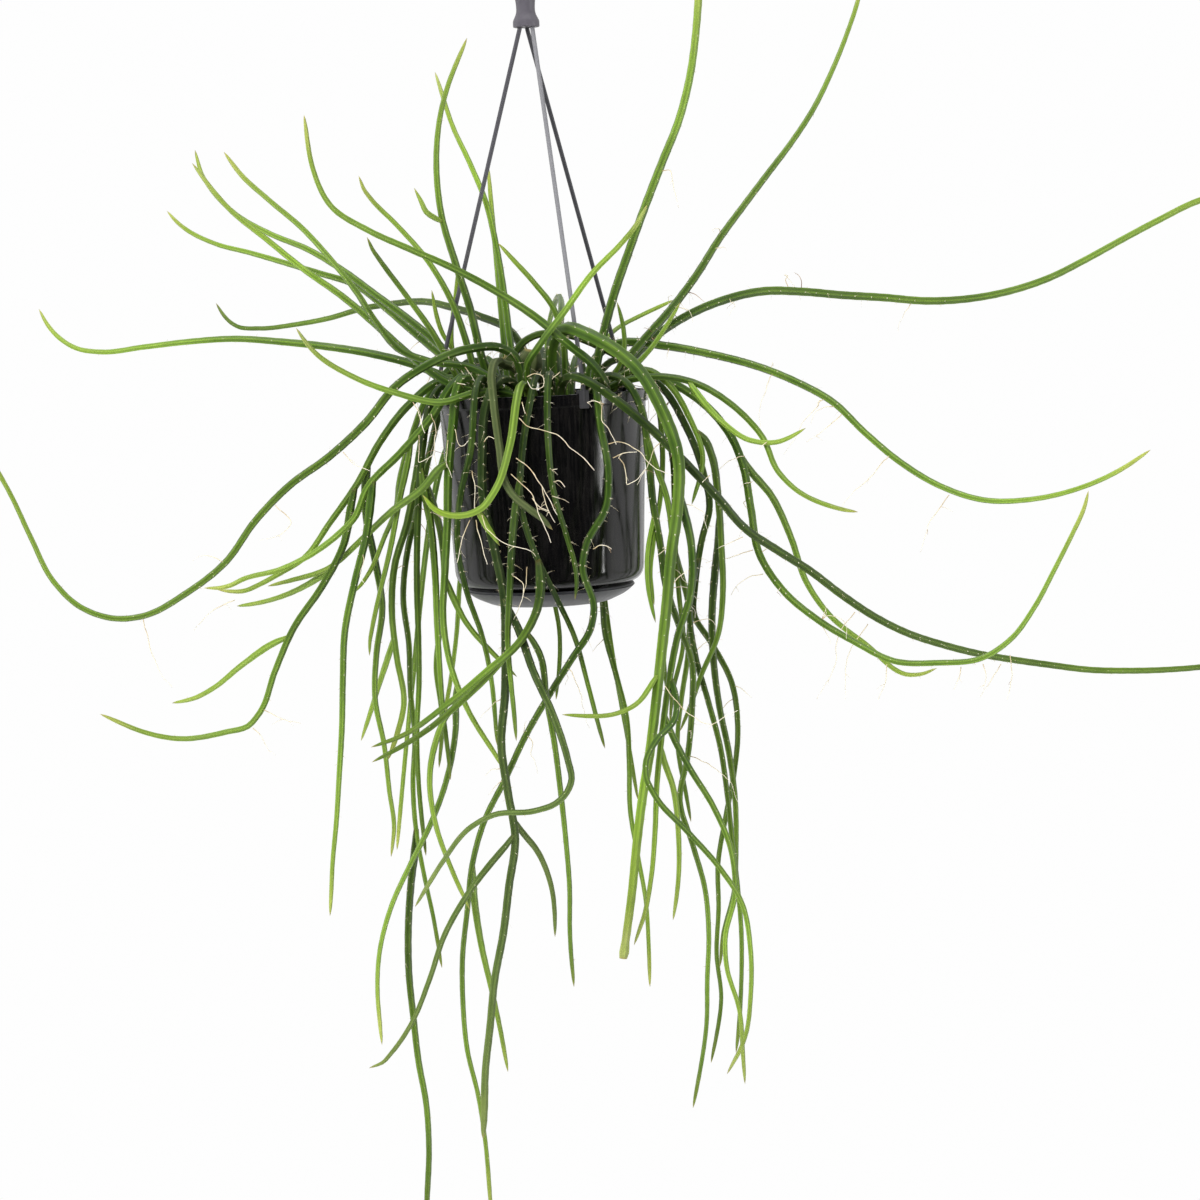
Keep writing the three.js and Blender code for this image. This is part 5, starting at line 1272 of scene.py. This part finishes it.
bark, tree = new_material("pine bark chip")
place = add_node(tree, "TexCoord").outputs["Object"]
along_chip = add_node(tree, "Mapping", {"Vector": place, "Scale": (0.3, 1.0, 1.0)})
grain = add_node(tree, "TexNoise", [along_chip, 1 / BARK_GRAIN, 4.0, NOISE_ROUGH])
browns = [(0.3, "2c160c"), (0.5, "5a2f1a"), (0.72, "8a5636")]
shader = add_node(tree, "BsdfPrincipled", {
    "Base Color": add_node(tree, "ValToRGB", [grain], stops=browns), "Roughness": 0.85,
    "Normal": add_node(tree, "Bump", {"Height": grain, "Strength": 0.7, "Distance": 0.4 * MM}),
})
add_node(tree, "OutputMaterial", {"Surface": shader})

# %% Crumbs and bark chips
GOLDEN = 1.618
ICO_SIZE = 1.9
SIGNS = [(s, t) for t in (1, -1) for s in (1, -1)]
ICO = [(0, s, t * GOLDEN) for s, t in SIGNS] + [(s, t * GOLDEN, 0) for s, t in SIGNS]
ICO += [(s * GOLDEN, 0, t) for s, t in SIGNS]
STREWN, SUNK_SHARE = 0.97, 0.3


def lumps_piece(name, count, sizes, flat, material, seed, stretch=1.0):
    """Irregular lumps strewn on the soil, as one piece."""
    bench, draw = bmesh.new(), random.Random(seed)
    for _ in range(count):
        out, turn = soil_edge * STREWN * math.sqrt(draw.random()), draw.uniform(0, 2 * math.pi)
        x, y = out * math.cos(turn), out * math.sin(turn)
        size = draw.uniform(*sizes)
        middle = Vector((x, y, soil_height(x, y) + size * flat * SUNK_SHARE))
        spin = Matrix.Rotation(draw.uniform(0, 6.3), 3, "Z") @ Matrix.Rotation(draw.gauss(0, 0.4), 3, "X")
        spots = []
        for corner in ICO:
            spot = Vector(corner) / ICO_SIZE * size * draw.uniform(0.65, 1.1)
            spot = spin @ Vector((spot.x * stretch, spot.y, spot.z * flat))
            spots.append(bench.verts.new((spot + middle) * MM))
        bmesh.ops.convex_hull(bench, input=spots)
    loose = [v for v in bench.verts if not v.link_faces]
    bmesh.ops.delete(bench, geom=loose, context="VERTS")
    bmesh.ops.recalc_face_normals(bench, faces=bench.faces)
    bench.verts.index_update()
    points = [tuple(v.co) for v in bench.verts]
    faces = [[v.index for v in face.verts] for face in bench.faces]
    bench.free()
    add_piece(name, points, faces, material, smooth=False)
    print(name + ":", len(faces), "faces")


lumps_piece("soil_crumbs", 620, (0.7, 2.2), 0.8, peat, 11)
lumps_piece("bark_chips", 46, (2.2, 4.6), 0.35, bark, 12, 1.5)

# %% Root felt on the soil
FELT_ROOTS, FELT_STEP, FELT_SEEDS = 110, 3.6, 300

draw = random.Random(21)
felt = []
for seed in range(FELT_ROOTS):
    out, turn = soil_edge * math.sqrt(draw.random()) * 0.9, draw.uniform(0, 2 * math.pi)
    spot = np.array([out * math.cos(turn), out * math.sin(turn), 0.0])
    heading = draw.uniform(0, 2 * math.pi)
    points, lift = [], draw.uniform(0.2, 1.6)
    for k in range(draw.choice([4, 5, 6, 8])):
        arch = lift * math.sin(math.pi * min(1, k / 4)) * draw.uniform(0.6, 1.3)
        inside = min(1.0, (soil_edge - 2) / max(ON_AXIS, math.hypot(*spot[:2])))
        points.append(np.array([spot[0] * inside, spot[1] * inside, soil_height(*spot[:2]) + 0.2 + arch]))
        heading += draw.gauss(0, 0.7)
        spot = spot + FELT_STEP * np.array([math.cos(heading), math.sin(heading), 0.0])
    felt.append(wandering(points, 0.24, 0.12, 0.6, FELT_SEEDS + seed, outside=False))
add_tubes("root_felt", felt, 4, root_skin, 9)

# %% [markdown]
# The hanger
#
# The hanger is moulded too: a cap with its hook, and three thin stiff strands that clip on the rim.
# Two of the strands are dark. The one in front is a paler grey, and its lower end is darker, partly
# soiled by wet peat and partly painted shade under the stems. The strands go up into sockets in the
# cap. The plastic is the pot's, with a duller surface.

# %% Hanger plastic
cap_plastic = moulded_plastic("dull grey polypropylene", "56535a", "7d7a76", 0.42, 0.05, 0.12)
left_plastic = moulded_plastic("dull mid grey polypropylene", "4c4b50", "7a7875", 0.42, 0.05, 0.12)
dark_plastic = moulded_plastic("dull dark polypropylene", "3a3a3e", "5c5a57", 0.42, 0.05, 0.12)
# Its lower end is darkened, partly as soiling and partly as painted shade under the stems.
pale_plastic = moulded_plastic("dull pale polypropylene", "7c7c80", "a29f99", 0.42, 0.05, 0.12, stain_and_shade=0.85)

# %% Cap and hook
CAP_BOTTOM, CAP_TOP, CAP_LIP, CAP_WAIST = -46.0, -25.0, 7.5, 5.3
CAP_SEGMENTS, SOCKET_SIDES = 64, 24
HOOK_INNER, HOOK_ROD, HOOK_START, HOOK_END = 8.0, 2.2, -38, 205
HOOK_STEPS, HOOK_SIDES = 18, 20
STRAND_CIRCLE, STRAND_RADIUS, SOCKET_RADIUS, SOCKET_DEPTH = 4.0, 1.25, 1.65, 7.0
STRANDS = {
    "left": (173, 207, left_plastic), "back": (39, 87, dark_plastic), "front": (-67, -33, pale_plastic),
}

cap_high = CAP_TOP - CAP_BOTTOM
shoulder = (CAP_LIP + CAP_WAIST) / 2
cap_outline = eased([
    (0, CAP_BOTTOM, 0), (CAP_LIP, CAP_BOTTOM, 0.8), (CAP_LIP, CAP_BOTTOM + cap_high * 0.17, 1.0),
    (CAP_WAIST, CAP_BOTTOM + cap_high * 0.38, 2.0), (CAP_WAIST, CAP_BOTTOM + cap_high * 0.6, 2.0),
    (shoulder, CAP_TOP - 0.8, 0.6), (shoulder - 0.8, CAP_TOP, 0.5), (0, CAP_TOP, 0),
])
cap = turned_piece(
    "hanger_cap", cap_outline, CAP_SEGMENTS, cap_plastic, ["hanger_hook"])
spots = [math.radians(socket) for _, socket, _ in STRANDS.values()]
sockets = [(STRAND_CIRCLE * math.cos(t), STRAND_CIRCLE * math.sin(t)) for t in spots]
drilled(cap, sockets, SOCKET_RADIUS, CAP_BOTTOM - 1, CAP_BOTTOM + SOCKET_DEPTH, SOCKET_SIDES)

loop = HOOK_INNER + HOOK_ROD
hook_rows = [
    (0, 0, CAP_TOP - HOOK_ROD), (0, 0, CAP_TOP + HOOK_ROD / 2), (loop * 0.35, 0, CAP_TOP + HOOK_ROD * 2),
]
for step in range(HOOK_STEPS + 1):
    turn = math.radians(HOOK_START + (HOOK_END - HOOK_START) * step / HOOK_STEPS)
    hook_rows.append((loop * math.cos(turn), 0, loop * math.sin(turn) - HOOK_INNER))
hook_line = smooth_line([(*row, HOOK_ROD) for row in hook_rows], 1.0)
hook_line[-2:, 3] = [HOOK_ROD * 0.9, HOOK_ROD * 0.45]
points, faces = tube(hook_line, HOOK_SIDES)
add_piece("hanger_hook_rod", points * MM, faces, cap_plastic)
print("cap:", len(cap.data.polygons), "faces, hook:", len(faces), "faces")

# %% Strands and clips
CLIP_WIDTH, CLIP_THICK, CLIP_REACH, CLIP_LIP = 5.5, 1.8, 8.0, 3.0
CLIP_EASE, CLIP_SHARP_OVER = 0.3, 40
STRAND_SIDES = 14
clip_out = RIM_RADIUS + SEAT_GAP
clip_in = RIM_RADIUS - POT_WALL - SEAT_GAP
JAW = [
    (clip_out + CLIP_THICK, SEAT_GAP + CLIP_THICK), (clip_in - CLIP_THICK, SEAT_GAP + CLIP_THICK),
    (clip_in - CLIP_THICK, -CLIP_LIP), (clip_in - CLIP_THICK / 3, -CLIP_LIP), (clip_in, SEAT_GAP),
    (clip_out, SEAT_GAP), (clip_out, -CLIP_REACH), (clip_out + CLIP_THICK, -CLIP_REACH),
]


def around(degrees, out, height, ease):
    """A corner of a line: at an angle round the axis, a distance out, a height, and its ease."""
    turn = math.radians(degrees)
    return out * math.cos(turn), out * math.sin(turn), height, ease


for side_name, (angle, socket, plastic) in STRANDS.items():
    turn = Matrix.Rotation(math.radians(angle), 4, "Z")
    middle = clip_out + CLIP_THICK / 2
    line = eased([
        around(socket, STRAND_CIRCLE, CAP_BOTTOM + SOCKET_DEPTH - SEAT_GAP, 0),
        around(socket, STRAND_CIRCLE, CAP_BOTTOM, 2),
        around(angle, middle - STRAND_RADIUS, RIM_TOP + CLIP_REACH, 4),
        around(angle, middle, RIM_TOP, 2),
        around(angle, middle, RIM_TOP - CLIP_REACH / 2, 0),
    ])
    rows = np.hstack([line, np.full((len(line), 1), STRAND_RADIUS)])
    rod_points, faces = tube(rows, STRAND_SIDES)
    bench = bmesh.new()
    corners = [bench.verts.new((x, -CLIP_WIDTH / 2, RIM_TOP + z)) for x, z in JAW]
    flat = bench.faces.new(corners)
    moved = bmesh.ops.extrude_face_region(bench, geom=[flat])["geom"]
    for item in moved:
        if isinstance(item, bmesh.types.BMVert):
            item.co.y += CLIP_WIDTH
    bmesh.ops.recalc_face_normals(bench, faces=bench.faces)
    bmesh.ops.bevel(bench, geom=bench.edges[:], offset=CLIP_EASE, segments=2, affect="EDGES")
    start = len(rod_points)
    places = sorted(bench.verts, key=lambda v: tuple(round(c, 4) for c in v.co))
    number_of = {v: start + k for k, v in enumerate(places)}
    clip_points = [tuple(turn @ v.co) for v in places]
    clip_faces = []
    for face in bench.faces:
        ring = [number_of[v] for v in face.verts]
        first = ring.index(min(ring))
        clip_faces.append(ring[first:] + ring[:first])
    faces += sorted(clip_faces)
    bench.free()
    points = np.vstack([rod_points, clip_points]) * MM
    slot = "hanger_light_plastic" if side_name == "front" else "hanger_dark_plastic"
    made = add_piece("strand_" + side_name, points, faces, plastic, ["hanger_strand_" + side_name])
    made.data.set_sharp_from_angle(angle=math.radians(CLIP_SHARP_OVER))
    print("strand", side_name + ":", len(faces), "faces")

# %% [markdown]
# Light and background
#
# The picture has a white background and soft light from all round, as in a photographer's white
# tent, with more light from the front, which gives the stems a light middle and darker sides. The
# world is that tent. It is white to the camera. In reflections it is dark in front, where the
# camera stands, which is what keeps the middle of the glossy pot black, so the front lamp is
# left out of reflections too.

# %% World
TENT_DARK, TENT_LIGHT, TENT_FILL = 0.03, 0.95, 0.46
TENT_EDGE = (0.08, 0.5)
WHITE = (1, 1, 1, 1)
BACKDROP = 0.99

world = bpy.data.worlds.new("white tent")
bpy.context.scene.world = world
world.use_nodes = True
tent = world.node_tree
tent.nodes.clear()
ways = add_node(tent, "SeparateXYZ", {0: add_node(tent, "TexCoord").outputs["Generated"]})
front = add_node(tent, "Math", [ways.outputs["Y"], -1.0], operation="MULTIPLY")
glow = add_node(tent, "MapRange", [front, *TENT_EDGE, TENT_LIGHT, TENT_DARK], interpolation_type="SMOOTHSTEP")
ray = add_node(tent, "LightPath")
filled = add_node(tent, "MapRange", [ray.outputs["Is Glossy Ray"], 0.0, 1.0, TENT_FILL, 1.0])
strength = add_node(tent, "Math", [glow, filled], operation="MULTIPLY")
lit = add_node(tent, "Background", {"Color": WHITE, "Strength": strength})
seen = add_node(tent, "Background", {"Color": WHITE, "Strength": BACKDROP})
both = add_node(tent, "MixShader", {0: ray.outputs["Is Camera Ray"], 1: lit, 2: seen})
add_node(tent, "OutputWorld", {"Surface": both})
bpy.context.scene.view_settings.view_transform = "Standard"

# %% Lamps
LAMP_AIM = Vector((0, 0, -0.35))


def softbox(name, where, wide, high, power, mirrored=True):
    """A rectangular soft lamp that faces the plant. A lamp that isn't mirrored gives no highlight."""
    lamp = bpy.data.lights.new(name, "AREA")
    lamp.shape = "RECTANGLE"
    lamp.size, lamp.size_y, lamp.energy = wide, high, power
    made = bpy.data.objects.new(name, lamp)
    made.location = where
    made.rotation_euler = (LAMP_AIM - Vector(where)).to_track_quat("-Z", "Y").to_euler()
    made.visible_camera = False
    made.visible_glossy = mirrored
    bpy.context.scene.collection.objects.link(made)


softbox("lamp_front", (-0.7, -2.1, 0.5), 1.4, 1.2, 56, mirrored=False)
softbox("lamp_left", (-1.5, -1.3, 0.5), 0.9, 1.3, 9, mirrored=False)
softbox("lamp_right", (1.5, -0.6, -0.3), 0.07, 1.1, 6)
softbox("lamp_top", (0.1, -0.2, 1.4), 1.4, 1.4, 16)
softbox("lamp_back", (0.4, 2.1, 0.4), 1.4, 1.2, 20, mirrored=False)

# %% Floor
# Matt white paint, rolled on: even, with no gloss.
FLOOR_HEIGHT, FLOOR_RADIUS, FLOOR_SEGMENTS = -1.15, 9.0, 96
FLOOR_SPECKLES, FLOOR_GLOW = 30.0, 0.12

floor_paint, tree = new_material("matt white studio floor")
place = add_node(tree, "TexCoord").outputs["Object"]
speckle = add_node(tree, "TexNoise", [place, FLOOR_SPECKLES, 3.0, NOISE_ROUGH])
shader = add_node(tree, "BsdfPrincipled", {
    "Base Color": add_node(tree, "ValToRGB", [speckle], stops=[(0.35, "f4f4f2"), (0.65, "fbfbfa")]),
    "Roughness": 0.9, "Emission Color": WHITE, "Emission Strength": FLOOR_GLOW,
})
add_node(tree, "OutputMaterial", {"Surface": shader})
bench = bmesh.new()
bmesh.ops.create_circle(bench, cap_ends=True, radius=FLOOR_RADIUS, segments=FLOOR_SEGMENTS)
floor_mesh = bpy.data.meshes.new("floor")
bench.to_mesh(floor_mesh)
bench.free()
floor_mesh.materials.append(floor_paint)
floor = bpy.data.objects.new("floor", floor_mesh)
floor.location.z = FLOOR_HEIGHT
floor.visible_camera = False
floor.visible_glossy = False
bpy.context.scene.collection.objects.link(floor)
floor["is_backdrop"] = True

# %% Sizes
low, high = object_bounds()
print("visual box", [round(v, 4) for v in (*low, *high)])
